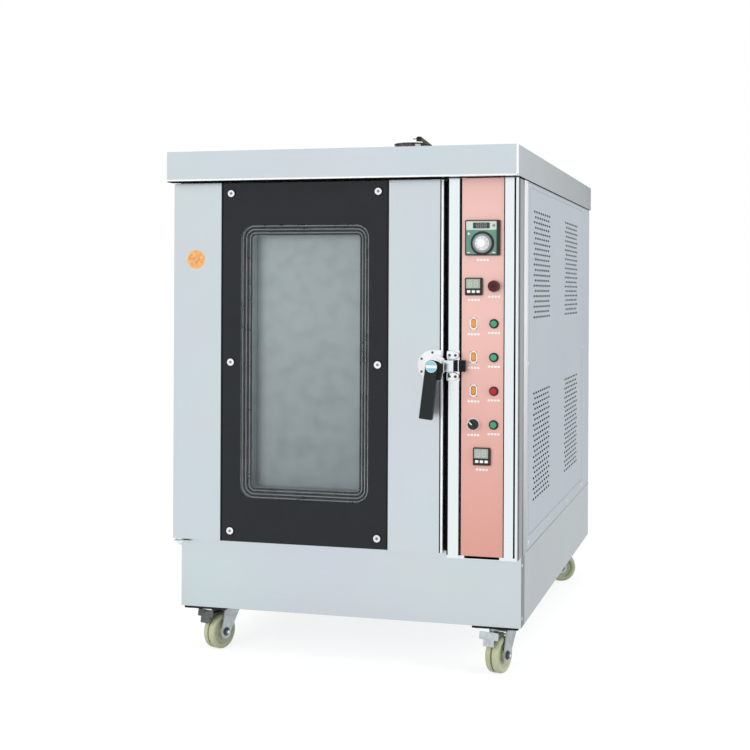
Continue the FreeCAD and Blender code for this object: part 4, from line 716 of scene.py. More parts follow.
def plastic_finishes(colours):
    """Paints, plastics, prints, lenses, rubber, nylon and wool."""
    # The rose sheet darkens towards its lower end in painted shade.
    graded("rose paint", colours.rose, colours.rose_low, 0.36, "control_panel", coat_weight=0.15)
    moulded("black plastic", (0.012, 0.0125, 0.013), 0.38)
    moulded("dark display", (0.035, 0.042, 0.045), 0.16)
    moulded("pale band", (0.58, 0.66, 0.60), 0.42)
    moulded("pale screen", (0.36, 0.42, 0.36), 0.22)
    moulded("unlit segment", (0.24, 0.25, 0.26), 0.3)
    moulded("screen segment", (0.50, 0.58, 0.50), 0.3)
    moulded("green enamel", colours.enamel, 0.34)
    moulded("white plastic", (0.86, 0.87, 0.87), 0.32)
    # Painted highlights: the door's fold, the cap's hem and the cap's upright corner.
    moulded("white trim", (0.93, 0.94, 0.955), 0.35, 300.0, 0.01, 0.4)
    # Painted highlight on the side's fold, turning to painted shade lower down.
    graded("fold steel", (0.93, 0.94, 0.955), (0.46, 0.50, 0.53), 0.35, "right_panel", metallic=0.4)
    moulded("white print", (0.88, 0.86, 0.84), 0.5)
    moulded("dial silver", (0.30, 0.32, 0.34), 0.34, 400.0, 0.05, 0.6)
    moulded("pale silver", (0.70, 0.75, 0.77), 0.30, 400.0, 0.05, 0.5)
    moulded("dial print", (0.16, 0.17, 0.18), 0.45)
    moulded("red print", (0.62, 0.03, 0.10), 0.4)
    moulded("amber key", colours.amber, 0.22, coat_weight=0.4)
    moulded("green lens", colours.green, 0.12, coat_weight=0.6)
    moulded("red lens", colours.red, 0.12, coat_weight=0.2, specular_ior_level=0.3)
    moulded("maroon lens", colours.maroon, 0.12, coat_weight=0.2, specular_ior_level=0.3)
    moulded("grip", colours.grip, 0.42, 700.0, 0.3, specular_ior_level=0.25)
    moulded("rubber", (0.009, 0.010, 0.011), 0.6, 500.0, 0.25, specular_ior_level=0.15)
    # Black paint of the window's stepped frame, and painted shade in the door's groove and in screws'
    # recesses.
    moulded("groove shade", (0.03, 0.034, 0.036), 0.7, specular_ior_level=0.1)
    # A black seal, and painted shade under the cap, in the gaps beside the painted panel and jamb, and in
    # screws' recesses; also the post's dark seam.
    moulded("seam black", (0.006, 0.0062, 0.0065), 0.9, 300.0, 0.1, specular_ior_level=0.0)
    stained("badge paint", colours.badge, (0.88, 0.62, 0.30), 0.4, 1.0, 150.0)
    stained("badge rim", (0.82, 0.47, 0.13), (0.60, 0.24, 0.05), 0.35, 0.5, 90.0)
    moulded("hub paint", colours.hub, 0.3)
    stained("nylon", colours.nylon, (0.34, 0.36, 0.20), 0.36, 0.6, 30.0, subsurface_weight=0.06)
    # A darker brown ring at the floor of each wheel's groove.
    stained("groove dirt", (0.12, 0.095, 0.05), (0.30, 0.26, 0.15), 0.6, 0.6, 60.0)
    stained("wool", (0.62, 0.56, 0.38), (0.40, 0.33, 0.18), 0.9, 0.8, 45.0, sheen_weight=0.3)


def glass_finishes(colours):
    """Black border with a clear coat, clear pane and hazy inner pane."""
    moulded("glass border", colours.border, 0.07, 60.0, 0.01, coat_weight=0.1, coat_roughness=0.03,
            specular_ior_level=0.25)
    # The hazy pane darkens towards its lower end in painted shade.
    graded("hazy pane", colours.window, colours.window_low, 0.28, "inner_glass")
    pane = moulded("clear pane", (0.97, 0.985, 0.98), 0.015, 60.0, 0.0001, transmission_weight=1.0, ior=1.2)
    tree = pane.node_tree
    light = tree.nodes.new("ShaderNodeLightPath")
    clear = tree.nodes.new("ShaderNodeBsdfTransparent")
    lit = maths(tree, "MAXIMUM", light.outputs["Is Shadow Ray"], light.outputs["Is Diffuse Ray"])
    passing = node(tree, "ShaderNodeMixShader", {0: lit, 1: tree.nodes["Principled BSDF"].outputs[0],
                                                 2: clear.outputs[0]})
    tree.links.new(passing.outputs[0], tree.nodes["Material Output"].inputs["Surface"])


CAD_FINISHES = {
    "base_frame": "zinc", "plinth": "level steel", "left_panel": "side steel",
    "right_panel": "side steel", "rear_panel": "upright steel", "top_cap": "cap steel",
    "front_frame": "chamber steel", "control_column": "bright steel", "chamber_liner": "chamber steel",
    "fan_baffle": "chamber steel", "heater_rings": "heater", "fan_motor": "motor paint",
    "fan_wheel": "chamber steel", "steam_injector": "copper", "tray_racks": "chamber steel",
    "control_panel": "rose paint", "control_gear": "black plastic", "door_shell": "upright steel",
    "door_inner_pan": "chamber steel", "inner_glass": "hazy pane",
}


class OVEN_OT_finishes(Operator):
    """Makes the finishes and lays them on the CAD nodes that stay in view"""
    bl_idname = "oven.finishes"
    bl_label = "Finishes"

    def execute(self, context):
        colours = context.scene.oven_colours
        for make in (brushed_group, moulded_group, stained_group, graded_group):
            make()
        for make in (metal_finishes, plastic_finishes, glass_finishes):
            make(colours)
        for name, surface in CAD_FINISHES.items():
            slots = frame["nodes"][name].data.materials
            slots.clear()
            slots.append(bpy.data.materials[f"oven {surface}"])
        return {"FINISHED"}


# Door

def glass_shells(sizes):
    """The outer pane as a black ring round a clear pane: both are extruded round-cornered outlines."""
    low, high = span("outer_glass")
    thick = high[1] - low[1]
    edge = sizes.pane_edge
    outer = front_tile(low, high, edge)
    window = front_tile(*span("window_frame"), sizes.corner)
    border = loft([outer(0.0), outer(0.0), outer(edge), window(0.0), window(0.0)],
                  [0.0, thick - edge, thick, thick, 0.0], plane(high[1]), "glass border", ring=True)
    return border, prism(window(SKIN), 0.0, thick, plane(high[1]), "clear pane")


def window_rim_shells(sizes):
    """A stepped ring behind the glass, with a half-round bead on each step.

    The profile of (inset, depth) pairs goes down a step for each bead, then straight back to the
    inner pane behind a pale lining; it is carried round the window's round-cornered outline.
    """
    low, high = span("window_frame")
    window = front_tile(low, high, sizes.corner)
    place = plane(low[1])
    depths = [sizes.first_step + step * sizes.step_drop for step in range(sizes.beads)]
    profile = [(SKIN, -SKIN)]
    for step, depth in enumerate(depths):
        profile += [(SKIN + step * sizes.bead_pitch, -depth), ((step + 1) * sizes.bead_pitch, -depth)]
    inner = profile[-1][0] + SKIN
    rear = low[1] - span("inner_glass")[0][1] + SKIN
    profile += [(inner, rear), (SKIN, rear)]
    lined = inner + 2 * SKIN
    lining = [(inner, -depths[-1]), (lined, -depths[-1]), (lined, rear), (inner, rear)]
    # The steps are the frame's black paint.
    shells = [stack(window, profile, place, "groove shade", ring=True),
              stack(window, lining, place, "hazy pane", ring=True)]
    angle = np.linspace(0.0, math.pi, 2 * EDGE_POINTS)
    half = sizes.bead_width / 2
    for step, depth in enumerate(depths):
        centre = step * sizes.bead_pitch + half + SKIN
        arch = np.stack([centre - half * np.cos(angle), sizes.bead_rise * np.sin(angle) - depth], axis=1)
        shells.append(stack(window, arch, place, "bead alloy", ring=True))
    return shells


class OVEN_OT_window(Operator):
    """Makes the door's black-bordered pane, the stepped rim behind it and the strips beside it"""
    bl_idname = "oven.window"
    bl_label = "Window"

    def execute(self, context):
        sizes = context.scene.oven_door
        border, pane = glass_shells(sizes)
        piece("glass_border", "door", [border], ["outer_glass"])
        piece("window_pane", "door", [pane])
        piece("window_rim", "door", window_rim_shells(sizes), ["window_frame"])
        low, high = span("outer_glass")
        front = span("door_shell")[0][1] - sizes.strip_rise
        strips = [bar((x, front, low[2]), (x + sizes.strip_width, low[1], high[2]), "z", sizes.strip_rise,
                      "rubber") for x in (low[0], high[0] - sizes.strip_width)]
        piece("glass_strips", "door", strips)
        return {"FINISHED"}


class OVEN_OT_studs(Operator):
    """Makes the six studs that hold the glass: a dark washer under a dimpled, round-edged head"""
    bl_idname = "oven.studs"
    bl_label = "Glass studs"

    def execute(self, context):
        sizes = context.scene.oven_door
        face = span("outer_glass")[0][1]
        dimple = sizes.stud_mark * 0.8
        shells = []
        for box in solid_boxes("glass_studs"):
            centre = middle(box)
            radius = half_width(box)
            rise = face - box[0][1]
            head = radius * 0.81
            place = (centre[0], face, centre[2])
            washer = round_over(0.0, rise * 0.3, rise * 0.15)
            dome = round_over(rise * 0.2, rise, sizes.stud_dome)
            dome += [(head - sizes.stud_mark, rise), (head - dimple, rise - 2 * SKIN)]
            shells += [stack(disc(radius), washer, place, "rubber"), stack(disc(head), dome, place, "chrome"),
                       rod(dimple, rise - 3 * SKIN, rise - SKIN, place, "bead alloy")]
        piece("window_studs", "door", shells, ["glass_studs"])
        return {"FINISHED"}


class OVEN_OT_door_trim(Operator):
    """Makes a fold painted white as a highlight and a dark groove of painted shade on the door's free edge,
    and the blank badge
    """
    bl_idname = "oven.door_trim"
    bl_label = "Door trim"

    def execute(self, context):
        sizes = context.scene.oven_door
        low, high = span("door_shell")
        start = high[0] - sizes.fold_width
        # The fold is painted white as a highlight.
        fold = bar((start, low[1] - sizes.fold_rise, low[2]),
                   (high[0] + SKIN, low[1] + sizes.fold_width, high[2]), "z", sizes.fold_rise, "white trim")
        # The groove is a dark strip of painted shade.
        groove = bar((start - sizes.groove_width, low[1] - SKIN, low[2] + SKIN),
                     (start, low[1] + SKIN, high[2] - SKIN), "z", SKIN, "groove shade")
        piece("door_edge_fold", "door", [fold, groove])
        place = (low[0] + sizes.badge_inset, low[1], high[2] - sizes.badge_drop)
        rim = stack(disc(sizes.badge_radius), round_over(0.0, 2 * SKIN, SKIN), place, "badge rim")
        face = rod(sizes.badge_radius * 0.86, SKIN, 3 * SKIN, place, "badge paint")
        piece("blank_badge", "door", [rim, face])
        return {"FINISHED"}


class OVEN_OT_seals(Operator):
    """Makes the door's bulb gasket and edge lip, and the wool batts round the chamber"""
    bl_idname = "oven.seals"
    bl_label = "Seals and wool"

    def execute(self, context):
        (low, high), lip = sorted(solid_boxes("door_gasket"), key=lambda box: box[0][0])
        thick = high[1] - low[1]
        width = (lip[1][1] - lip[0][1]) * 0.7
        angle = np.linspace(0.0, math.pi, 4 * EDGE_POINTS)
        bulb = np.stack([width * (1 - np.cos(angle)) / 2, thick * np.sqrt(np.sin(angle))], axis=1)
        ring = tile(-high[0], -low[0], low[2], high[2], width)
        gasket = stack(ring, bulb, plane(low[1]), "rubber", REAR, ring=True)
        piece("door_seal", "door", [gasket, bar(*lip, "z", thick, "rubber")], ["door_gasket"])
        self.wool(context.scene.oven_trim.wool_crown)
        return {"FINISHED"}

    def wool(self, crown):
        """Batts between casing and liner: boxes with soft edges, drawn in at the rim and crowned."""
        low, high = span("chamber_insulation")
        liner_low, liner_high = span("chamber_liner")
        pipe_low, pipe_high = span("flue_pipe")
        left = (low[0], liner_low[1], liner_low[2]), (liner_low[0], liner_high[1], liner_high[2])
        right = (liner_high[0], liner_low[1], liner_low[2]), (high[0], liner_high[1], liner_high[2])
        under = low, (high[0], high[1], liner_low[2])
        rear = (low[0], liner_high[1], liner_low[2]), (high[0], high[1], liner_high[2])
        over_left = (low[0], low[1], liner_high[2]), (pipe_low[0], high[1], high[2])
        over_right = (pipe_high[0], low[1], liner_high[2]), high
        shells = []
        for start, end in (left, right, under, rear, over_left, over_right):
            start, end = np.asarray(start) + crown, np.asarray(end) - crown
            deep = end[1] - start[1]
            profile = [(2 * crown, -crown)] + pill(0.0, deep, 2 * crown) + [(3 * crown, deep + crown)]
            shells.append(stack(front_tile(start, end, 2 * crown), profile, plane(end[1]), "wool"))
        batts = piece("wool_batts", "cabinet", shells, ["chamber_insulation"])


class OVEN_OT_hinges(Operator):
    """Makes the door's hinge bearing, pins and domed nut, and the flat bracket under them"""
    bl_idname = "oven.hinges"
    bl_label = "Door hinges"

    def execute(self, context):
        (low, high), upper = sorted(solid_boxes("door_hinges"), key=lambda box: box[0][2])[:2]
        _, pin = joint("door_swing")
        door_low = span("door_shell")[0][2]
        radius = half_width(upper)
        place = (pin[0], pin[1], 0.0)
        plate_top = door_low - 5 * radius / 6
        plate_low = plate_top - 2 * radius / 3
        nut = plate_low - radius
        hexagon = ring_points(hexagon_radius(1.42 * radius))
        dome = quarter(1.1 * radius, 0.0, nut - low[2])
        shells = [bar((low[0], low[1], plate_low), (high[0], high[1], plate_top), "z", radius / 8, "zinc"),
                  stack(disc(1.83 * radius), pill(plate_top, door_low - SKIN, SKIN), place, "chrome", TOP),
                  rod(radius, plate_top, high[2], place, "chrome", TOP),
                  prism(hexagon, nut, plate_low, place, "chrome", TOP),
                  stack(disc(1.2 * radius), dome, (pin[0], pin[1], nut), "chrome", UNDER),
                  rod(radius, upper[0][2], upper[1][2], place, "chrome", TOP)]
        piece("hinge_pins", "cabinet", shells, ["door_hinges"])
        return {"FINISHED"}


# Latch

class OVEN_OT_latch(Operator):
    """Makes the latch's rose, boss, guide and screws, its bolt, and the keeper on the jamb"""
    bl_idname = "oven.latch"
    bl_label = "Latch and keeper"

    def execute(self, context):
        chord_side = np.array([-0.633, 0.774])
        low, high = span("latch_body")
        bolt_low, bolt_high = span("latch_bolt")
        x, _, z = joint("handle_turn")[1]
        door_low, door_high = span("door_shell")
        face = door_low[1]
        rose = (high[2] - low[2]) / 2
        reach = face - low[1]
        thick = reach * 0.095
        plate = tile(low[0], door_high[0] - thick / 2, z - rose, z + rose,
                     np.array([rose, thick, thick, rose]) * 0.99)
        bolt_half = (bolt_high[2] - bolt_low[2]) / 2
        guide = bolt_half * 1.1
        place = (x, face, z)

        def boss(inset):
            """A disc cut by a slanted chord on its upper left and by the guide's end on its right."""
            points = ring_points(rose * 0.69 - inset)
            beyond = np.maximum(points @ chord_side - rose * 0.57 + inset, 0.0)
            points -= beyond[:, None] * chord_side
            points[:, 0] = np.minimum(points[:, 0], high[0] - x - inset)
            return points

        shells = [stack(plate, round_over(0.0, thick, thick * 0.4), plane(face), "chrome"),
                  stack(boss, round_over(0.0, reach * 0.4, reach * 0.03), place, "chrome"),
                  stack(disc(rose * 0.48), round_over(0.0, reach, reach * 0.04), place, "chrome"),
                  bar((x, bolt_low[1] - thick / 2, z - guide), (high[0], face - thick, z + guide), "y",
                      guide * 0.08, "bright steel")]
        for box in self.rose_screws():
            centre = middle(box)
            shells += screw_shells((centre[0], face - thick, centre[2]), FRONT, half_width(box), thick / 2,
                                   "dark zinc", "seam black")
        piece("latch_case", "door", shells, ["latch_body"])
        edge = bolt_half * 0.12
        nose = stack(tile(bolt_low[1], bolt_high[1], bolt_low[2], bolt_high[2], edge),
                     pill(0.0, bolt_high[0] - bolt_low[0], edge), (bolt_low[0], 0.0, 0.0),
                     "bright steel", RIGHT)
        piece("bolt", "bolt", [nose], ["latch_bolt"])
        self.keeper(bolt_low, bolt_high)
        return {"FINISHED"}

    def rose_screws(self):
        """Boxes of the rose's screws: the small solids of the latch."""
        boxes = solid_boxes("latch_body")
        widest = max(half_width(box) for box in boxes)
        return [box for box in boxes if half_width(box) < widest / 2]

    def keeper(self, bolt_low, bolt_high):
        """Two lobes over a plate, each with two screws, and the pad behind the bolt's end."""
        low, high = span("keeper")
        face = span("control_column")[0][1]
        rise = face - low[1]
        width = (span("control_panel")[0][0] - (high[1] - face) - low[0]) * 0.9
        right = low[0] + width
        level = low[0] + width * 0.55
        gap = SKIN * 2
        shells = [bar((low[0], face - rise * 0.18, low[2]), (right, face, high[2]), "y", rise * 0.06,
                      "chrome")]
        crest = rise * 0.86
        crown = round_over(0.0, crest, rise * 0.28)
        for start, end in ((low[2], bolt_low[2] - gap), (bolt_high[2] + gap, high[2])):
            slant = (end - start) * 0.25
            lobe = [(low[0], start), (level, start), (right, start + slant), (right, end - slant),
                    (level, end), (low[0], end)]
            shells.append(stack(rounded(lobe, (end - start) * 0.2), crown, plane(face), "chrome"))
            for share in (0.26, 0.74):
                place = (low[0] + width * share, face - crest, (start + end) / 2)
                shells += screw_shells(place, FRONT, rise * 0.24, rise * 0.13, "dark zinc", "seam black")
        rim = right - 4 * gap
        back = face - rise * 0.16
        for x0, x1, share, surface in ((bolt_high[0] + gap, rim, 0.75, "rubber"),
                                       (rim, right, 0.80, "chrome"), (right, high[0], 0.75, "rubber")):
            shells.append(bar((x0, face - rise * share, bolt_low[2]), (x1, back, bolt_high[2]), "y", SKIN,
                              surface))
        piece("keeper_block", "cabinet", shells, ["keeper"])


class OVEN_OT_handle(Operator):
    """Makes the lever handle: a flat moulded arm, round at its hub and square at its end"""
    bl_idname = "oven.handle"
    bl_label = "Handle"

    def execute(self, context):
        foot_corner, block_corner, stem_depth = 0.0022, 0.003, 0.012
        low, high = span("handle_lever")
        x, _, z = joint("handle_turn")[1]
        front = low[1] + SKIN * 3
        hub = high[0] - x
        lean = math.atan2(x - low[0] - hub * 0.89, z - low[2])
        arm_length = (z - low[2]) / math.cos(lean) - hub * 0.12
        half = hub * 0.9
        neck = span("latch_body")[0][1] - SKIN
        back = neck - (neck - front) * 0.36
        facing = np.array([(math.cos(lean), 0.0, -math.sin(lean)), (math.sin(lean), 0.0, math.cos(lean))])
        foot, top = half * 1.04, half * 0.98
        bends = np.array([foot_corner, foot_corner, half * 0.94, half * 0.94])
        arm = rounded([(-foot, -arm_length), (foot, -arm_length), (half, top), (-half, top)], bends)
        thick = back - front
        edge = thick * 0.12
        profile = pill(0.0, thick, edge) + [(edge + 4 * SKIN, thick), (edge + 5 * SKIN, thick - SKIN)]
        block = [(half * 0.1, -hub * 1.75), (hub * 1.45, -hub * 1.75), (hub * 1.5, hub * 0.5),
                 (half * 0.1, hub * 0.9)]
        band = ring_points(hub * 0.73)
        band[:, 1] = np.clip(band[:, 1], hub * -0.18, hub * 0.20)
        place, root, at = (x, back, z), (x, neck, z), (x, front, z)
        shells = [stack(arm, profile, place, "grip", facing),
                  rod(hub * 0.8, -SKIN, neck - back, root, "grip"),
                  rod(hub * 0.42, -stem_depth, neck - back, root, "chrome"),
                  stack(rounded(block, block_corner), pill(0.0, thick * 0.75, edge), place, "rubber", facing),
                  stack(disc(hub * 0.82), [(0.0, -SKIN), (0.0, SKIN), (SKIN, 1.5 * SKIN)], at,
                        "white plastic"),
                  rod(hub * 0.75, 0.0, 2 * SKIN, at, "hub paint"),
                  prism(band, 0.0, 2.6 * SKIN, at, "white plastic")]
        piece("lever", "handle", shells, ["handle_lever"])
        return {"FINISHED"}


# Controls

DIGIT_WIDTH, DIGIT_BAR, DIGIT_PITCH = 0.52, 0.12, 1.75    # of the height, the last of the width
LEVEL_HALF, UPRIGHT_HALF, BAR_CORNER = 0.42, 0.21, 0.4    # of the width, the height and the bar
SPINDLE_DEPTH = 0.009    # spindle of a knob behind its back, in metres
FLUTES = ROUND_POINTS / 4


def digit_shells(centre, height, face, finish, digits):
    """Figures of seven bars each: three level bars and four upright bars, all with round ends."""
    width = height * DIGIT_WIDTH
    thick = height * DIGIT_BAR
    level = [(0.0, up * height / 2, width * LEVEL_HALF, thick / 2) for up in (-1, 0, 1)]
    upright = [(side * width / 2, up * height / 4, thick / 2, height * UPRIGHT_HALF)
               for side in (-1, 1) for up in (-1, 1)]
    shells = []
    for index in range(digits):
        middle_x = centre[0] + (index - (digits - 1) / 2) * width * DIGIT_PITCH
        for shift, up, long, tall in level + upright:
            x, z = middle_x + shift, centre[1] + up
            segment = tile(x - long, x + long, z - tall, z + tall, thick * BAR_CORNER)
            shells.append(prism(segment(0.0), 0.0, SKIN, plane(face), finish))
    return shells


def plate_shell(x0, x1, z0, z1, face, finish, radius=0.0008, thick=SKIN):
    """A thin face glued on a front."""
    return stack(tile(x0, x1, z0, z1, radius), round_over(-SKIN, thick, thick / 2), plane(face), finish)


def instrument_shells(low, high, sizes):
    """A panel instrument: a frame with a recessed face, and the case behind the panel."""
    panel = span("control_panel")[0][1]
    rise = panel - low[1]
    profile = round_over(0.0, rise, sizes.edge)
    profile += [(sizes.frame, rise), (sizes.frame + SKIN, rise - sizes.recess)]
    case = 2 * sizes.edge + SKIN
    return [stack(front_tile(low, high, 2 * sizes.edge), profile, plane(panel), "black plastic"),
            bar((low[0] + case, panel, low[2] + case), (high[0] - case, high[1], high[2] - case), "y",
                sizes.edge, "black plastic")]


class OVEN_OT_controller(Operator):
    """Makes the temperature controller's frame, band, display, green face and small marks"""
    bl_idname = "oven.controller"
    bl_label = "Temperature controller"

    def execute(self, context):
        sizes = context.scene.oven_controls
        low, high = span("temp_controller")
        face = low[1] + sizes.recess
        print_face = face - SKIN
        inner = sizes.frame + 2 * SKIN
        x0, x1, z0, z1 = low[0] + inner, high[0] - 3 * inner, low[2] + inner, high[2] - inner
        band = z1 - sizes.band
        x, z = (x0 + x1) / 2, (band + z1) / 2
        half, tall = sizes.display_width / 2, sizes.display_height / 2
        mark = sizes.pointer
        dial = half_width(span("temp_dial"))
        spot = middle(span("temp_dial"))
        well = dial * 0.3
        shells = instrument_shells(low, high, sizes)
        shells += [plate_shell(x0, x1, z0, band, face, "green enamel"),
                   plate_shell(x0, x1, band, z1, face, "pale band"),
                   plate_shell(x - half, x + half, z - tall, z + tall, print_face, "dark display"),
                   stack(disc(dial * 1.13), [(0.0, 0.0), (0.0, 2 * SKIN), (well, 2 * SKIN), (well, 0.0)],
                         (spot[0], face, spot[2]), "black plastic", ring=True)]
        shells += digit_shells((x, z), sizes.digit, face - 2 * SKIN, "unlit segment", 3)
        foot, tip = band - 3.6 * mark, band - 1.4 * mark
        pointer = rounded([(x0 + mark, foot), (x0 + 3 * mark, foot), (x0 + 2 * mark, tip)], mark / 6)
        shells.append(prism(pointer(0.0), 0.0, SKIN, plane(print_face), "white print"))
        for at in (x0 + 2 * mark, x1 - 2 * mark):
            shells.append(plate_shell(at - mark, at + mark, z0 + mark, z0 + 1.7 * mark, print_face,
                                      "white print"))
        shells.append(plate_shell(x1 - 3 * mark, x1 - mark, z - mark, z + mark, print_face, "unlit segment"))
        piece("controller_front", "cabinet", shells, ["temp_controller"])
        return {"FINISHED"}


class OVEN_OT_dial(Operator):
    """Makes the temperature dial: a graduated silver plate, a pale skirt and a fluted knob"""
    bl_idname = "oven.dial"
    bl_label = "Temperature dial"

    def execute(self, context):
        first_tick, last_tick, spot_angle = -60.0, 240.0, 215.0
        sizes = context.scene.oven_controls
        low, high = span("temp_dial")
        centre = middle((low, high))
        radius = half_width((low, high)) * 0.9
        back = span("temp_controller")[0][1] - SKIN
        place = (centre[0], back, centre[2])
        total = back - low[1]
        plate = total * 0.27
        skirt = plate * 1.3
        knob = radius * 0.44
        edge = total * 0.12
        fluted = ring_points(knob * (1 + 0.03 * np.cos(turning() * FLUTES)))
        rounding = quarter(edge, total - edge, total)
        circles = [fluted, fluted] + [ring_points(knob - inset) for inset, _ in rounding]
        circles += [ring_points(knob * 0.62), ring_points(knob * 0.55)]
        heights = [plate, total - 1.6 * edge] + [depth for _, depth in rounding] + [total, total - edge / 2]
        shells = [stack(disc(radius), round_over(0.0, plate, plate * 0.3), place, "dial silver"),
                  stack(disc(radius * 0.76), round_over(0.0, skirt, plate * 0.25), place, "pale silver"),
                  loft(circles, heights, place, "white plastic"),
                  rod(radius * 0.1, -SPINDLE_DEPTH, 0.0, place, "chrome")]
        for index, one in enumerate(np.radians(np.linspace(first_tick, last_tick, sizes.ticks))):
            long = index % 5 == 0
            along = np.array([math.cos(one), math.sin(one)]) * radius
            across = np.array([-along[1], along[0]]) * (0.018 if long else 0.011)
            inner, outer = along * (0.82 if long else 0.86), along * 0.95
            tick = rounded([inner - across, outer - across, outer + across, inner + across],
                           np.linalg.norm(across) / 3)
            shells.append(prism(tick(0.0), plate, plate + 1.5 * SKIN, place, "dial print"))
            if long:
                stud = ring_points(radius * 0.05, along * 0.63)
                shells.append(prism(stud, plate, skirt + SKIN, place, "dial silver"))
        turn = math.radians(spot_angle)
        spot = np.array([math.cos(turn), math.sin(turn)]) * radius * 0.87
        shells.append(stack(disc(radius * 0.08, spot), round_over(plate, plate + 2 * SKIN, SKIN),
                            place, "red print"))
        piece("dial", "dial", shells, ["temp_dial"])
        return {"FINISHED"}


class OVEN_OT_timers(Operator):
    """Makes the two timers' frames and screens, and the keys that press into them"""
    bl_idname = "oven.timers"
    bl_label = "Timers and keys"

    def execute(self, context):
        key_corner, key_edge, key_dish = 0.0012, 0.0006, 0.0022    # metres
        sizes = context.scene.oven_controls
        shells = []
        inner = sizes.frame + 2 * SKIN
        for low, high in solid_boxes("timers"):
            face = low[1] + sizes.recess
            x0, x1, z1 = low[0] + inner, high[0] - 2 * inner, high[2] - inner
            z0 = z1 - sizes.screen_height
            shells += instrument_shells(low, high, sizes)
            shells.append(plate_shell(x0, x1, z0, z1, face, "pale screen"))
            shells += digit_shells(((x0 + x1) / 2, (z0 + z1) / 2), sizes.timer_digit, face - SKIN,
                                   "screen segment", 2)
        piece("timer_fronts", "cabinet", shells, ["timers"])
        for timer in ("upper", "lower"):
            for number in (1, 2, 3):
                name = f"{timer}_timer_button_{number}"
                low, high = span(name)
                thick = high[1] - low[1]
                crown = round_over(0.0, thick, key_edge) + [(key_dish, thick - SKIN)]
                key = stack(front_tile(low, high, key_corner), crown, plane(high[1]), "white plastic")
                piece(f"{timer}_key_{number}", name, [key], [name])
        return {"FINISHED"}


class OVEN_OT_lamps(Operator):
    """Makes the pilot lamps, each a black collar round a crowned lens, and the buzzer"""
    bl_idname = "oven.lamps"
    bl_label = "Lamps and buzzer"

    def execute(self, context):
        crown = context.scene.oven_controls.lens_crown
        green = [shell for box in solid_boxes("green_lamps") for shell in self.lamp(box, crown, "green lens")]
        piece("green_pilots", "cabinet", green, ["green_lamps"])
        lamp, buzzer = sorted(solid_boxes("red_lamps"), key=lambda box: box[0][2])
        red = self.lamp(lamp, crown, "red lens") + self.buzzer(buzzer)
        piece("red_pilots", "cabinet", red, ["red_lamps"])
        return {"FINISHED"}

    def place(self, box):
        """A lamp's axis on the panel, its radius, rise and depth."""
        panel = span("control_panel")[0][1]
        centre = middle(box)
        return (centre[0], panel, centre[2]), half_width(box), panel - box[0][1], box[1][1] - panel

    def lamp(self, box, crown, surface):
        """A collar on the lamp's body, a tube in it, and a lens that is crowned by a quarter round."""
        place, radius, rise, depth = self.place(box)
        body = radius * 0.4
        collar = [(body, -depth), (body, 0.0)] + round_over(0.0, rise * 0.3, rise * 0.1)
        tube = round_over(0.0, rise * 0.82, rise * 0.08)
        lens = radius * 0.70
        dome = [(0.0, 0.0)] + quarter(lens * 0.96, rise - crown, rise, 2 * EDGE_POINTS)
        return [stack(disc(radius), collar, place, "black plastic"),
                stack(disc(radius * 0.84), tube, place, "black plastic"),
                stack(disc(lens), dome, place, surface)]

    def buzzer(self, box):
        """A deep round-edged dome on a black rim, with three upright sound slots."""
        place, radius, rise, depth = self.place(box)
        body = radius * 0.95
        dome = [(body / 2, -depth), (body / 2, 0.0)] + round_over(0.0, rise, rise * 0.24)
        rim = round_over(0.0, rise * 0.16, rise * 0.05)
        shells = [stack(disc(radius), rim, place, "black plastic"),
                  stack(disc(body), dome, place, "maroon lens")]
        for x, tall in ((-0.22, 0.30), (0.0, 0.36), (0.22, 0.30)):
            slot = tile((x - 0.05) * radius, (x + 0.05) * radius, -tall * radius, tall * radius,
                        0.045 * radius)
            shells.append(prism(slot(0.0), rise - SKIN, rise + SKIN / 2, place, "rubber"))
        return shells


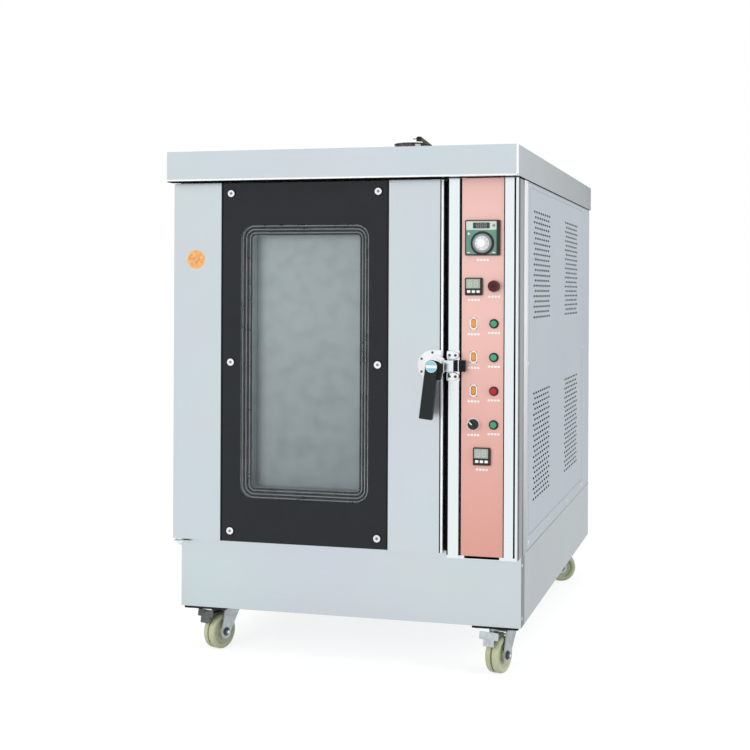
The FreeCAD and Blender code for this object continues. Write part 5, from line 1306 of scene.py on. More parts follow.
class OVEN_OT_switches(Operator):
    """Makes the rocker switches' white oval frames and amber keys, and the selector knob and ring"""
    bl_idname = "oven.switches"
    bl_label = "Switches and selector"

    def execute(self, context):
        sizes = context.scene.oven_controls
        panel = span("control_panel")[0][1]
        boxes = sorted(solid_boxes("switch_bezels"), key=lambda box: -box[0][2])
        shells = []
        for number, box in enumerate(boxes[:-1], start=1):
            shells += self.oval(box, span(f"rocker_{number}"), panel)
            self.key(number, sizes.key_dish)
        shells += self.ring(boxes[-1], panel)
        piece("switch_frames", "cabinet", shells, ["switch_bezels"])
        self.selector(boxes[-1])
        return {"FINISHED"}

    def oval(self, box, key, panel):
        """A round-ended frame round a round-ended opening, and the case behind the panel."""
        low, high = box
        key_low, key_high = key
        rise = panel - low[1]
        edge = rise * 0.4
        gap = 3 * SKIN
        outer = front_tile(low, high, half_width(box) * 0.999)
        z0, z1 = key_low[2] - gap, key_high[2] + gap
        well = tile(key_low[0] + gap, key_high[0] - gap, z0, z1, 2 * half_width(key) * 0.42)
        rounding = round_over(0.0, rise, edge)
        outlines = [outer(inset) for inset, _ in rounding] + [well(-edge), well(0.0), well(0.0)]
        depths = [depth for _, depth in rounding] + [rise, rise - edge, 0.0]
        case = tile(key_low[0], key_high[0], z0, z1, gap)
        deep = high[1] - panel
        return [loft(outlines, depths, plane(panel), "white plastic", ring=True),
                stack(case, [(-gap, 0.0), (-gap, deep), (gap, deep), (gap, 0.0)], plane(panel + deep),
                      "white plastic", ring=True)]

    def key(self, number, dish):
        """A round-ended key whose face is hollowed along its length, tipped about its pivot."""
        key_back, key_edge, pin_radius = 0.001, 0.0009, 0.0019
        name = f"rocker_{number}"
        tilt = next(one for one in frame["joints"] if one["child"] == name)
        _, pivot = joint(tilt["name"])
        tip = math.radians(max(tilt["range_deg"]) / 2)
        low, high = span(name)
        half = (high[2] - low[2]) / 2 * 0.93
        wide = half_width((low, high)) * 0.78
        centre = (low[0] + high[0]) / 2
        front = (pivot[1] - low[1]) * 0.84
        shape = tile(centre - wide, centre + wide, pivot[2] - half, pivot[2] + half, wide * 0.96)
        profile = round_over(-key_back, front, key_edge)
        profile += [(wide * share, front) for share in (0.3, 0.5, 0.7, 0.9)]
        hollow = stack(shape, profile, plane(pivot[1]), "amber key",
                       bow=lambda flat: -dish * (1 - ((flat[..., 1] - pivot[2]) / half) ** 2))
        reach = wide * 1.25
        pin = prism(ring_points(pin_radius, pivot[1:]), -reach, reach, (centre, 0.0, 0.0),
                    "white plastic", RIGHT)
        piece(f"rocker_key_{number}", name,
              [turned(shell, "X", -tip, pivot) for shell in (hollow, pin)], [name])

    def ring(self, box, panel):
        """A white washer ring and the switch body behind the panel."""
        centre = middle(box)
        radius = half_width(box)
        rise = panel - box[0][1]
        place = (centre[0], panel, centre[2])
        rim = round_over(0.0, rise, rise * 0.4)
        return [stack(disc(radius), rim, place, "white plastic"),
                rod(radius * 0.62, panel - box[1][1], 0.0, place, "black plastic")]

    def selector(self, box):
        """A drum with a grip fin across it that leans as the selector rests, and a white pointer."""
        low, high = span("selector_knob")
        centre = middle((low, high))
        radius = half_width((low, high))
        back = box[0][1] - SKIN
        total = back - low[1]
        drum = total * 0.66
        place = (centre[0], back, centre[2])
        lean = math.radians(45.0)
        right, up = math.cos(lean), math.sin(lean)
        facing = np.array([(right, 0.0, up), (-up, 0.0, right)])
        fluted = 1 + 0.018 * np.cos(turning() * FLUTES)
        circles = [ring_points(radius * share) for share in (1.0, 1.0, 0.92 * fluted, 0.90 * fluted, 0.82)]
        heights = [drum * share for share in (0.0, 0.22, 0.30, 0.86, 1.0)]
        wide, line = radius * 0.22, radius * 0.09
        fin = tile(-wide, wide, radius * -0.8, radius * 0.84, radius * 0.2)
        pointer = tile(-line, line, 0.0, radius * 0.8, radius * 0.06)
        shells = [loft(circles, heights, place, "black plastic"),
                  stack(fin, round_over(0.0, total - SKIN, total * 0.06), place, "black plastic", facing),
                  prism(pointer(0.0), total - 2 * SKIN, total, place, "white print", facing),
                  rod(radius * 0.19, -SPINDLE_DEPTH, 0.0, place, "chrome")]
        piece("selector", "selector", shells, ["selector_knob"])


class OVEN_OT_marks(Operator):
    """Makes the short blank marks printed under the controls"""
    bl_idname = "oven.marks"
    bl_label = "Panel marks"

    def execute(self, context):
        sizes = context.scene.oven_controls
        panel = span("control_panel")[0][1]
        boxes = [span("temp_controller")]
        for name in ("timers", "green_lamps", "red_lamps", "switch_bezels"):
            boxes += solid_boxes(name)
        pitch, tall = sizes.mark_length / 4, sizes.mark_height / 2
        half = pitch * 0.38
        shells = []
        for low, high in boxes:
            z = low[2] - sizes.mark_drop
            for place in (-1.5, -0.5, 0.5, 1.5):
                x = (low[0] + high[0]) / 2 + place * pitch
                shells.append(plate_shell(x - half, x + half, z - tall, z + tall, panel, "white print",
                                          thick=SKIN / 2))
        piece("panel_marks", "cabinet", shells)
        return {"FINISHED"}


# Casing

class OVEN_OT_casing_trim(Operator):
    """Makes the casing's hems, seals, folds, edges and seams, painted shade behind the vents and the panels'
    screws
    """
    bl_idname = "oven.casing_trim"
    bl_label = "Casing trim and screws"

    def execute(self, context):
        sizes = context.scene.oven_trim
        right = max(box[1][0] for box in solid_boxes("control_column"))
        self.cap(sizes)
        self.side(sizes, right)
        self.seams(sizes, right)
        self.gauze(sizes)
        self.screws()
        return {"FINISHED"}

    def cap(self, sizes):
        """The cap's hem and corner, painted white as highlights, and the dark strips under its front: a seal,
        and painted shade under the overhang.
        """
        low, high = span("top_cap")
        door_low, door_high = span("door_shell")
        rise, drop, wide = sizes.hem_rise, sizes.seal_drop, sizes.corner_width
        # The hem and the upright corner are painted white as highlights.
        hem = bar((low[0], low[1] - rise, low[2]), (high[0], low[1] + rise, low[2] + sizes.hem_height), "x",
                  rise, "white trim")
        # The seal strip under the cap's front also paints the shade under its overhang, and the strip beyond
        # the door is painted shade only.
        seal = bar((low[0] + rise, low[1] + rise, low[2] - drop), (door_high[0], door_low[1], low[2]), "x",
                   drop / 4, "seam black")
        rest = bar((door_high[0] - rise, (low[1] + door_low[1]) / 2, low[2] - drop / 2),
                   (high[0] - rise * 4, door_low[1], low[2]), "x", drop / 4, "seam black")
        corner = bar((high[0] - wide, low[1] - rise, low[2]), (high[0], low[1] + wide / 2, high[2]), "z",
                     rise, "white trim")
        piece("cap_hem", "cabinet", [hem, seal, rest, corner])

    def side(self, sizes, right):
        """The side's fold in a painted highlight that turns to painted shade lower down; the post's dark edge
        and its shaded side in painted shade; the dark strip under the cap in painted shade; the plinth's fold
        in painted shade, and its seam.
        """
        face = span("control_column")[0][1]
        panel_low, panel_high = span("right_panel")
        low, high = panel_low[2] + SKIN, panel_high[2] - SKIN
        edge, start = face + sizes.post_edge, face + sizes.fold_front
        end = start + sizes.fold_width
        (_, front, foot_low), (foot, rear, foot_high) = span("plinth")
        half = sizes.seam_width / 2
        # The fold carries a painted highlight that turns to painted shade lower down.
        fold = bar((right - SKIN, start, low), (right + sizes.fold_rise, end, high), "z",
                   sizes.fold_rise * 0.45, "fold steel")
        # The post's dark edge and shaded side, the strip under the cap and the plinth's fold are painted
        # shade; the last strip is the plinth's seam.
        thin = [((right - SKIN, face + sizes.post_line / 2, low), (right + SKIN, edge, high), "z",
                 "dark zinc"),
                ((right - SKIN, edge, low), (right + SKIN, start, high), "z", "shaded steel"),
                ((right - SKIN, face, panel_high[2] - sizes.seal_drop),
                 (right + sizes.fold_rise + SKIN, end, high), "y", "seam black"),
                ((foot - SKIN, front + SKIN, foot_low + SKIN),
                 (foot + SKIN, front + sizes.foot_fold, foot_high - SKIN), "z", "bead alloy"),
                ((foot - SKIN, start, foot_high - half), (foot + SKIN, rear - SKIN, foot_high + half), "y",
                 "bead alloy")]
        strips = [bar(first, last, axis, SKIN / 2, surface) for first, last, axis, surface in thin]
        piece("side_fold", "cabinet", [fold] + strips)

    def seams(self, sizes, right):
        """A dark lip on the jamb's edge, a gasket that also paints the shade in the gap; dark strips of
        painted shade in the gaps beside the painted panel; and a dark seam down the corner post.
        """
        low, high = span("control_panel")
        lip, face, _ = span("control_column")[0]
        jamb = low[0] - sizes.panel_gap
        edge = right - sizes.post_line
        column = face - SKIN, face + SKIN
        panel = low[1] - SKIN, low[1] + SKIN
        # The lip is a gasket darkened as painted shade; the next three strips paint the shade in the gaps
        # beside the painted panel; the last is the post's seam.
        strips = [(lip - SKIN, lip + sizes.lip_width, *column), (jamb - sizes.seam_width, jamb, *column),
                  (jamb, low[0] + 2 * SKIN, *panel), (high[0] - SKIN, high[0] + sizes.seam_width, *panel),
                  (edge - sizes.seam_width, edge + sizes.seam_width, *column)]
        shells = [bar((x0, y0, low[2]), (x1, y1, high[2]), "z", SKIN / 3, "seam black")
                  for x0, x1, y0, y1 in strips]
        piece("panel_seams", "cabinet", shells)

    def gauze(self, sizes):
        """Four round-cornered dark sheets behind the side's vents: painted shade for the cabinet's dark
        inside.
        """
        low, high = span("right_panel")
        thick = half_width((low, high))
        across = np.linspace(low[1] + sizes.gauze_front, high[1] - sizes.gauze_rear, 3)
        upward = np.linspace(low[2] + sizes.gauze_rim, high[2] - sizes.gauze_rim, 3)
        profile = pill(0.0, 2 * thick - SKIN, SKIN / 2)
        shells = []
        for y0, y1 in zip(across[:-1], across[1:]):
            for z0, z1 in zip(upward[:-1], upward[1:]):
                sheet = tile(y0 + thick, y1 - thick, z0 + thick, z1 - thick, 6 * thick)
                shells.append(stack(sheet, profile, (low[0], 0.0, 0.0), "gauze", RIGHT))
        piece("vent_gauze", "cabinet", shells)

    def screws(self):
        """Each screw faces the way in which its head is thinnest, away from the cabinet."""
        shells = []
        for box in solid_boxes("panel_screws"):
            size = box[1] - box[0]
            centre = middle(box)
            axis = int(size.argmin())
            outward = {0: RIGHT if centre[0] > 0 else LEFT, 1: REAR}[axis]
            place = centre.copy()
            place[axis] = box[0][axis] if centre[axis] > 0 else box[1][axis]
            shells += screw_shells(place, outward, size.max() / 2, size[axis], "chrome", "groove shade")
        piece("case_screws", "cabinet", shells, ["panel_screws"])


class OVEN_OT_flue(Operator):
    """Makes the flue pipe with its rolled rim, collar and lap strip, and the damper with its arm and tab"""
    bl_idname = "oven.flue"
    bl_label = "Flue and damper"

    def execute(self, context):
        lap_from, lap_to = -69.0, -51.0          # degrees round the pipe
        collar_thick, collar_height = 0.0022, 0.006    # metres, as the next two are
        shaft_end, lip = 0.002, 0.0028
        roll_inset = 0.1                         # of the roll
        pipe_share = 0.714                       # pipe's radius, of the collar's
        low, high = span("flue_pipe")
        cap = span("top_cap")[1][2]
        damper = span("damper")
        _, shaft = joint("damper_turn")
        collar = half_width((low, high))
        radius = collar * pipe_share
        wall = radius - (shaft[0] - damper[0][0] - shaft_end)
        wide = collar - radius
        place = (shaft[0], middle((low, high))[1], 0.0)
        rim = high[2] - lip
        angle = np.linspace(-0.5 * math.pi, 1.5 * math.pi, 3 * EDGE_POINTS)[:-1]
        roll = np.stack([lip * (roll_inset - np.cos(angle)), rim + lip * np.sin(angle)], axis=1)
        tube = [(0.0, low[2]), (0.0, rim), (wall, rim), (wall, low[2])]
        flange = [(0.0, 0.0), (0.0, 0.0014), (0.0008, collar_thick), (wide - 0.004, collar_thick),
                  (wide - 0.001, collar_height), (wide - 0.0002, collar_height), (wide - 0.0002, 0.0)]
        arc = np.radians(np.linspace(lap_from, lap_to, 9))
        along = np.stack([np.cos(arc), np.sin(arc)], axis=1)
        lap = np.concatenate([along[::-1] * (radius - SKIN), along * (radius + 2 * SKIN)])
        shells = [stack(disc(radius), tube, place, "flue black", TOP, ring=True),
                  stack(disc(radius), roll, place, "flue black", TOP, ring=True),
                  stack(disc(collar), flange, (place[0], place[1], cap), "flue black", TOP, ring=True),
                  prism(lap, cap + collar_height, rim, place, "zinc", TOP)]
        piece("flue", "cabinet", shells, ["flue_pipe"])
        self.damper(shaft, *damper)
        return {"FINISHED"}

    def damper(self, shaft, low, high):
        """A disc on a shaft, a strap that leaves its end and slopes over the rim, and a tab on it."""
        wire_left, wire_right, wire_low, wire_high = -0.022, -0.008, -0.009, -0.006
        tab_left, tab_right, tab_low, tab_high = -0.009, 0.004, -0.015, -0.002
        strap_head = [(0.006, 0.0), (-0.006, 0.0), (-0.009, -0.016), (0.008, -0.017)]
        tab_shift, tab_edge, wire_edge = 0.022, 0.0012, 0.0006
        half, strap_corner, strap_edge = 0.0025, 0.0009, 0.0005
        plate_half, plate_edge, shaft_radius, shaft_edge = 0.001, 0.0004, 0.0039, 0.0006
        plate_share = 0.93                       # damper's plate, of the shaft's reach
        x, y, z = shaft
        end, top = high[0], high[2]
        tab = x + tab_shift
        strap = [(end, z - half * 2), (end, z + half * 1.6)]
        strap += [(tab + right, top + up) for right, up in strap_head]
        shells = [stack(disc((x - low[0]) * plate_share), pill(z - plate_half, z + plate_half, plate_edge),
                        (x, y, 0.0), "flue black", TOP),
                  stack(disc(shaft_radius, (y, z)), pill(0.0, end - low[0], shaft_edge), (low[0], 0.0, 0.0),
                        "zinc", RIGHT),
                  stack(rounded(strap, strap_corner), pill(0.0, 2 * half, strap_edge), plane(y + half),
                        "flue black"),
                  bar((tab + tab_left, y - 2 * half, top + tab_low),
                      (tab + tab_right, y + 2 * half, top + tab_high), "y", tab_edge, "flue black"),
                  bar((tab + wire_left, y - half / 2, top + wire_low),
                      (tab + wire_right, y + half / 2, top + wire_high), "x", wire_edge, "dark zinc")]
        piece("damper_flap", "damper", shells, ["damper"])


class OVEN_OT_rear_fittings(Operator):
    """Makes the ribbed cap of the supply gland and the thread and hexagon of the water inlet"""
    bl_idname = "oven.rear_fittings"
    bl_label = "Rear fittings"

    def execute(self, context):
        rib_radius, rib_depth, gland_flat = 0.82, 0.03, 0.9    # of the gland's radius
        gland_nut = 0.36                         # of its depth
        gland = max(solid_boxes("control_gear"), key=lambda box: box[1][1])
        centre = middle(gland)
        back = gland[0][1]
        deep = gland[1][1] - back
        radius = half_width(gland)
        place = (centre[0], back, centre[2])
        ribbed = rib_radius * (1 + rib_depth * np.cos(turning() * FLUTES))
        outlines = [ring_points(radius * share) for share in (ribbed, ribbed, 0.74, 0.6, 0.4, 0.4)]
        depths = [deep * 0.5, deep * 0.88, deep * 0.97, deep + SKIN, deep + SKIN, deep * 0.5]
        hexagon = ring_points(hexagon_radius(radius * gland_flat))
        shells = [loft(outlines, depths, place, "black plastic", REAR, ring=True),
                  prism(hexagon, SKIN, deep * gland_nut, place, "black plastic", REAR)]
        piece("gland_cap", "cabinet", shells)
        self.inlet(back)
        return {"FINISHED"}

    def inlet(self, back):
        """A sawtooth thread carried round the inlet's end, whose centre comes from the points there."""
        nut_flat, nut_end = 0.0148, 0.0128
        thread_crest, thread_depth, thread_bore = 0.0002, 0.0007, 0.0052
        thread_radius, step, thread_start = 0.0112, 0.0018, 0.014    # metres
        end = span("steam_injector")[1][1]
        sheet = span("rear_panel")[1][1]
        points = node_points("steam_injector")
        rim = points[points[:, 1] > end - SKIN]
        x, z = middle((rim.min(axis=0), rim.max(axis=0)))[[0, 2]]
        place = (x, back, z)
        outer = end - back
        turns = int((outer - thread_start) / step)
        index = np.arange(turns * 2)
        thread = np.stack([thread_crest + thread_depth * (index % 2),
                           outer - SKIN - (turns * 2 - index) * step / 2], axis=1).tolist()
        tube = [(thread_bore, outer - SKIN), (thread_bore, outer - turns * step)]
        nut = ring_points(hexagon_radius(nut_flat))
        shells = [stack(disc(thread_radius), thread + tube, place, "copper", REAR, ring=True),
                  prism(nut, sheet - back + SKIN, nut_end, place, "copper", REAR)]
        piece("inlet_thread", "cabinet", shells)


# Casters

class OVEN_OT_casters(Operator):
    """Makes the four casters: plates, stamped forks, dished wheels and brake pedals"""
    bl_idname = "oven.casters"
    bl_label = "Casters"
    # Lengths are in metres, and profiles are (inset, depth) pairs.
    rib = [(0.0, -SKIN), (0.0, 0.0002), (0.002, 0.0016)]
    bend = 0.001
    tread_half, hub_half, hub_rim, bore = 0.392, 0.46, 0.72, 0.876    # of the wheel's radius
    pin_radius, pin_start, head_radius, head_thick, head_edge = 0.0058, 0.003, 0.0088, 0.0032, 0.0008
    race_radius, race = 0.030, [(0.004, -0.0068), (0.0, -0.0055), (0.0, -0.002), (0.003, 0.0)]

    def execute(self, context):
        sizes = context.scene.oven_casters
        plates = []
        for corner in ("front_left", "front_right", "rear_left", "rear_right"):
            axle, hub = joint(f"{corner}_roll")
            _, swivel = joint(f"{corner}_swivel")
            side = np.array([np.cross((0.0, 0.0, 1.0), axle), (0.0, 0.0, 1.0)])
            braked = f"{corner}_brake" in frame["nodes"]
            plates += self.plate(swivel)
            self.wheel(corner, hub, side, sizes)
            self.fork(corner, hub, swivel, axle, side, sizes, braked)
            if braked:
                self.pedal(corner, swivel, axle, "dark zinc" if "left" in corner else "zinc", side)
        piece("caster_mounts", "cabinet", plates, ["caster_plates"])
        return {"FINISHED"}

    def plate(self, swivel):
        """A black plate with four bolts over a turned ball race, and the king pin's head."""
        plate_thick, plate_edge, inset, bolt_flat, bolt_rise = 0.007, 0.0008, 0.012, 0.0056, 0.0019
        low, high = min(solid_boxes("caster_plates"),
                        key=lambda box: np.linalg.norm(middle(box)[:2] - swivel[:2]))
        base = high[2] - plate_thick
        place = (swivel[0], swivel[1], low[2])
        bolt = ring_points(hexagon_radius(bolt_flat))
        shells = [bar((low[0], low[1], base), high, "z", plate_edge, "plate black"),
                  stack(disc(self.race_radius), self.race, (swivel[0], swivel[1], base), "zinc", TOP),
                  rod(self.pin_radius, self.pin_start, base - low[2], place, "zinc", TOP),
                  stack(disc(self.head_radius), pill(0.0, self.head_thick, self.head_edge), place,
                        "zinc", TOP)]
        shells += [prism(bolt, -bolt_rise, 0.0, (x, y, base), "zinc", TOP)
                   for x in (low[0] + inset, high[0] - inset) for y in (low[1] + inset, high[1] - inset)]
        return shells

    def wheel(self, corner, hub, side, sizes):
        """A profile turned about the axle: grooved tread, round shoulders, dished sides and bored hub."""
        low, high = span(f"{corner}_wheel")
        radius = (high[2] - low[2]) / 2
        half, hub_half, hub_rim = radius * self.tread_half, radius * self.hub_half, radius * self.hub_rim
        edge, bend = sizes.tread_edge, self.bend
        groove, depth = sizes.groove_width / 2, sizes.groove_depth
        dish = radius - sizes.dish_radius
        floor = half - sizes.dish_depth
        right = [(radius * self.bore, hub_half), (hub_rim, hub_half), (hub_rim - bend, floor + bend),
                 (hub_rim - 4 * bend, floor), (dish + 4 * bend, floor), (dish + bend, half - 2 * bend),
                 (dish - 2 * bend, half)]
        right += quarter(edge, half - edge, half)[::-1] + [(0.0, groove), (depth, groove * 0.7)]
        left = [(inset, -out) for inset, out in reversed(right)]
        belt = [(depth + bend, groove), (depth - SKIN, groove), (depth - SKIN, -groove),
                (depth + bend, -groove)]
        shells = [stack(disc(radius), right + left, hub, "nylon", side, ring=True),
                  stack(disc(radius), belt, hub, "groove dirt", side, ring=True)]
        piece(f"{corner}_nylon_wheel", f"{corner}_wheel", shells, [f"{corner}_wheel"])

    def fork(self, corner, hub, swivel, axle, side, sizes, braked):
        """A crown under the race with rolled shoulders, two tapered legs, and the axle with its nuts."""
        brake_pin = 0.0024
        bolt_end, bolt_end_share = [(0.0, 0.0), (0.0, 0.0082), (0.25, 0.0089)], 0.55    # insets of the nut
        nut_washer = [(0.0, 0.0), (-0.0034, 0.0), (-0.0034, 0.0014), (0.0, 0.0018)]
        nut_dome = [(0.0, 0.0), (0.0, 0.0048), (0.12, 0.0062), (0.4, 0.0078), (0.8, 0.0086)]
        cup_radius, cup = 0.0295, [(0.0, -0.003), (0.0, -0.0008), (0.002, 0.0)]
        crown_low, crown_high = -0.004, -0.0002
        crown_front, crown_corner, crown_edge = 0.022, 0.006, 0.0012
        leg_bends = np.array([0.012, 0.014, 0.014, 0.012, 0.006, 0.006])
        foot, foot_shares = 0.0195, [(-0.98, -0.1), (-0.8, -1.0), (0.8, -1.0), (0.98, -0.1)]
        inner, thick, leg_front, leg_rear, leg_gap = 0.024, 0.003, 0.030, -0.038, 0.0005
        top = span(f"{corner}_fork")[1][2]
        trail = np.linalg.norm((hub - swivel)[:2])
        centre = np.array([swivel[0], swivel[1], 0.0])
        outer = inner + thick
        legs = [(leg_front, top - leg_gap), (leg_rear, top - leg_gap)]
        legs += [(right * foot - trail, hub[2] + up * foot) for right, up in foot_shares]
        shape = rounded(legs[::-1], leg_bends)
        along = np.array([axle, side[0]])
        crown = tile(-outer, outer, leg_rear, crown_front, crown_corner)
        shells = [stack(shape, pill(start, start + thick, sizes.leg_edge), centre, "zinc", side)
                  for start in (inner, -outer)]
        shells += [stack(crown, pill(top + crown_low, top + crown_high, crown_edge), centre, "zinc", along),
                   stack(disc(cup_radius), cup, (swivel[0], swivel[1], top), "zinc", along),
                   rod(self.pin_radius, -outer, outer, hub, "zinc", side)]
        nut = sizes.nut_radius
        dome, bolt = [[(nut * share, rise) for share, rise in profile] for profile in (nut_dome, bolt_end)]
        away = np.array([-side[0], side[1]])
        for face, facing in ((hub + axle * outer, side), (hub - axle * outer, away)):
            shells += [stack(disc(nut), dome, face, "dark zinc", facing),
                       stack(disc(nut * bolt_end_share), bolt, face, "chrome", facing),
                       stack(disc(nut), nut_washer, face, "dark zinc", facing)]
        if braked:
            _, pin = joint(f"{corner}_brake_press")
            shells.append(rod(brake_pin, -outer, outer, pin, "zinc", side))
        piece(f"{corner}_stamped_fork", f"{corner}_caster", shells, [f"{corner}_fork"])

    def pedal(self, corner, swivel, axle, surface, side):
        """A stepped tread that stands before the wheel, on an arm from its sleeve."""
        rib_half, rib_low, rib_high, rib_corner = 0.010, 0.008, -0.004, 0.006
        sleeve_radius, wall = 0.0045, 0.0019
        half, arm_end, arm_start, arm_corner, arm_edge = 0.015, -0.0935, -0.036, 0.001, 0.0006
        tread_left, tread_right, wing_left, wing_right = -0.018, 0.014, -0.031, 0.026
        fall, slope, rise, reach = 0.0385, 0.006, 0.0145, 0.093
        thick, edge, corner_radius, wide = 0.003, 0.0009, 0.0022, 0.0210
        _, pin = joint(f"{corner}_brake_press")
        ahead = side[0]
        drop = np.array([0.0, 0.0, -fall]) - ahead * slope
        run = np.linalg.norm(drop)
        start = np.array([swivel[0], swivel[1], pin[2] + rise]) - ahead * reach
        facing = np.array([axle, -drop / run])
        tread = [(tread_left, -run), (tread_right, -run), (tread_right, -wide), (wing_right, -wide),
                 (wing_right, 0.0), (wing_left, 0.0), (wing_left, -wide), (tread_left, -wide)]
        arm = tile(-half, half, arm_end, arm_start, arm_corner)
        rib = tile(-rib_half, rib_half, rib_low - run, rib_high, rib_corner)
        shells = [stack(rounded(tread, corner_radius), pill(-thick, 0.0, edge), start, surface, facing),
                  stack(arm, pill(-thick, 0.0, arm_edge), (swivel[0], swivel[1], pin[2] + thick / 2),
                        surface, np.array([axle, ahead])),
                  stack(disc(sleeve_radius), [(0.0, -half), (0.0, half), (wall, half), (wall, -half)], pin,
                        surface, side, ring=True),
                  stack(rib, self.rib, start, surface, facing)]
        piece(f"{corner}_pedal", f"{corner}_brake", shells, [f"{corner}_brake"])


# Stage

WHITE = (1.0, 1.0, 1.0, 1.0)


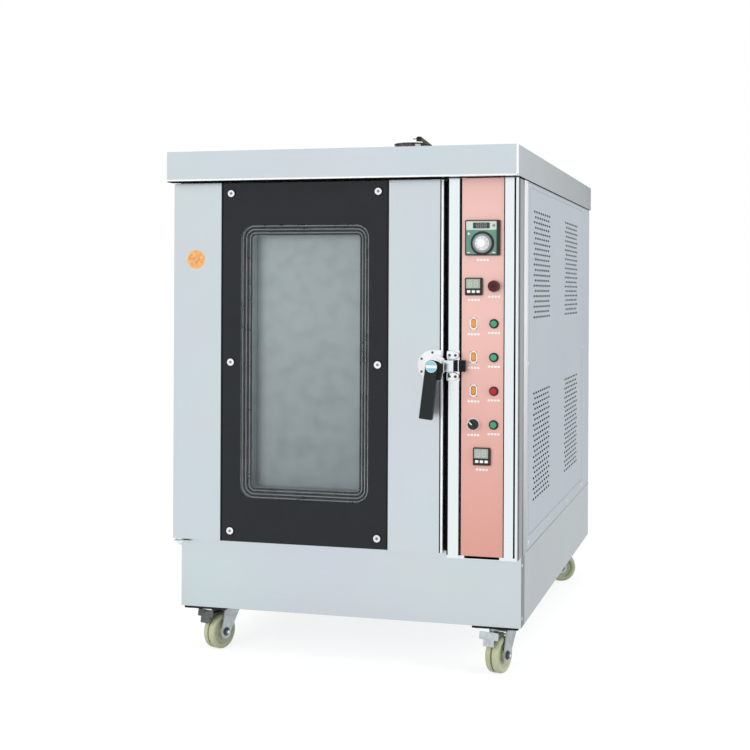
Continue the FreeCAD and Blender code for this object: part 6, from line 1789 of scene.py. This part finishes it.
class OVEN_OT_stage(Operator):
    """Makes the floor, the even white room, the lamps and the camera"""
    bl_idname = "oven.stage"
    bl_label = "Stage"
    floor_half, floor_level = 60.0, -0.0005      # metres
    floor_tone, seen_tone = (0.72, 0.72, 0.72, 1.0), (0.40, 0.40, 0.40, 1.0)
    near_end, far_end = -1.6, -0.2               # depths between which the floor's shine changes
    key_place, fill_place, lamp_side = (-1.7, -4.8, 1.2), (4.4, -0.9, 1.6), 3.0
    room_turn = -0.2                             # direction from which the room's tone falls off
    sensor, view_end = 36.0, 200.0

    def execute(self, context):
        values = context.scene.oven_stage
        self.floor(values)
        self.room(context.scene, values)
        self.lamp("key lamp", values.key, self.key_place)
        self.lamp("fill lamp", values.fill, self.fill_place)
        self.camera(context.scene, values)
        context.scene.view_settings.view_transform = "Standard"
        return {"FINISHED"}

    def floor(self, values):
        """A wide pale sheet: lifted to white where it is seen, and of a set tone in polished sheet."""
        half = self.floor_half
        mesh = bpy.data.meshes.new("floor")
        mesh.from_pydata([(x, y, self.floor_level) for x, y in corners(-half, half, -half, half)], [],
                         [(0, 1, 2, 3)])
        made = bpy.data.objects.new("floor", mesh)
        bpy.context.scene.collection.objects.link(made)
        material = bpy.data.materials.new("pale floor")
        material.use_nodes = True
        tree = material.node_tree
        tree.nodes.clear()
        light = tree.nodes.new("ShaderNodeLightPath").outputs
        coordinates = tree.nodes.new("ShaderNodeTexCoord").outputs["Object"]
        seen = maths(tree, "MAXIMUM", light["Is Camera Ray"], light["Is Transmission Ray"])
        plain = node(tree, "ShaderNodeBsdfDiffuse", {"Color": self.floor_tone})
        pale = node(tree, "ShaderNodeBsdfDiffuse", {"Color": self.seen_tone})
        glow = node(tree, "ShaderNodeEmission", {"Color": WHITE, "Strength": values.glow})
        lifted = node(tree, "ShaderNodeAddShader", {0: pale.outputs[0], 1: glow.outputs[0]})
        place = node(tree, "ShaderNodeSeparateXYZ", {0: coordinates})
        tone = node(tree, "ShaderNodeMapRange", {0: place.outputs[1], 1: self.near_end, 2: self.far_end,
                                                 3: values.near_floor, 4: values.far_floor}).outputs[0]
        shine = node(tree, "ShaderNodeEmission", {"Color": tone, "Strength": 1.0})
        either = node(tree, "ShaderNodeMixShader", {0: light["Is Glossy Ray"], 1: plain.outputs[0],
                                                    2: shine.outputs[0]})
        either = node(tree, "ShaderNodeMixShader", {0: seen, 1: either.outputs[0], 2: lifted.outputs[0]})
        node(tree, "ShaderNodeOutputMaterial", {"Surface": either.outputs[0]})
        mesh.materials.append(material)

    def room(self, scene, values):
        """White where it is seen, a softer tone to the rear in polished sheet, and even light."""
        scene.world = bpy.data.worlds.new("white room")
        scene.world.use_nodes = True
        tree = scene.world.node_tree
        tree.nodes.clear()
        light = tree.nodes.new("ShaderNodeLightPath").outputs
        direction = node(tree, "ShaderNodeSeparateXYZ", {0: tree.nodes.new("ShaderNodeTexCoord").outputs[0]})
        toward = node(tree, "ShaderNodeMapRange", {0: direction.outputs[1], 1: self.room_turn, 2: 1.0, 3: 1.0,
                                                   4: values.far_tone}).outputs[0]
        mirrored = maths(tree, "MAXIMUM", light["Is Glossy Ray"], light["Is Transmission Ray"])
        tone = mixed(tree, mirrored, (values.ambient,) * 3 + (1.0,), toward)
        tone = mixed(tree, light["Is Camera Ray"], tone, WHITE)
        shown = node(tree, "ShaderNodeBackground", {"Color": tone, "Strength": 1.0})
        node(tree, "ShaderNodeOutputWorld", {"Surface": shown.outputs[0]})

    def lamp(self, name, power, place):
        """A large square lamp aimed at the oven's middle."""
        light = bpy.data.lights.new(name, "AREA")
        light.energy = power
        light.size = self.lamp_side
        made = bpy.data.objects.new(name, light)
        bpy.context.scene.collection.objects.link(made)
        made.location = place
        made.visible_glossy = False
        made.visible_transmission = False
        aim = middle(np.array(cad_box)) - place
        made.rotation_euler = (math.atan2(math.hypot(aim[0], aim[1]), -aim[2]), 0.0,
                               math.atan2(aim[1], aim[0]) - math.pi / 2)

    def camera(self, scene, values):
        """A level camera, turned to the left and rolled, whose lens is shifted upright."""
        eye = bpy.data.cameras.new("camera")
        eye.lens = values.lens
        eye.sensor_width = self.sensor
        eye.shift_y = values.shift
        eye.clip_end = self.view_end
        made = bpy.data.objects.new("camera", eye)
        scene.collection.objects.link(made)
        made.matrix_world = (Matrix.Translation(values.place) @ Matrix.Rotation(values.turn, 4, "Z")
                             @ Matrix.Rotation(math.pi / 2, 4, "X") @ Matrix.Rotation(values.roll, 4, "Z"))
        scene.camera = made


OPERATORS = (OVEN_OT_finishes, OVEN_OT_window, OVEN_OT_studs, OVEN_OT_door_trim, OVEN_OT_seals,
             OVEN_OT_hinges, OVEN_OT_latch, OVEN_OT_handle, OVEN_OT_controller, OVEN_OT_dial,
             OVEN_OT_timers, OVEN_OT_lamps, OVEN_OT_switches, OVEN_OT_marks, OVEN_OT_casing_trim,
             OVEN_OT_flue, OVEN_OT_rear_fittings, OVEN_OT_casters, OVEN_OT_stage)


class OVEN_PT_panel(Panel):
    """Lists the oven's colours, sizes and steps"""
    bl_idname = "OVEN_PT_panel"
    bl_label = "Oven Dressing"
    bl_space_type = "VIEW_3D"
    bl_region_type = "UI"
    bl_category = "Oven"

    def draw(self, context):
        for operator in OPERATORS:
            self.layout.operator(operator.bl_idname)
        for name, group in GROUPS.items():
            box = self.layout.box()
            box.label(text=group.__doc__)
            for key in group.__annotations__:
                label = key.replace("_", " ").capitalize()
                box.prop(getattr(context.scene, name), key, text=label)


def register():
    for name, group in GROUPS.items():
        bpy.utils.register_class(group)
        setattr(bpy.types.Scene, name, bpy.props.PointerProperty(type=group))
    for cls in OPERATORS + (OVEN_PT_panel,):
        bpy.utils.register_class(cls)


def unregister():
    for cls in reversed(OPERATORS + (OVEN_PT_panel,)):
        bpy.utils.unregister_class(cls)
    for name, group in reversed(GROUPS.items()):
        delattr(bpy.types.Scene, name)
        bpy.utils.unregister_class(group)


def main():
    register()
    for operator in OPERATORS:
        group, name = operator.bl_idname.split(".")
        getattr(getattr(bpy.ops, group), name)()


if __name__ == "__main__":
    main()
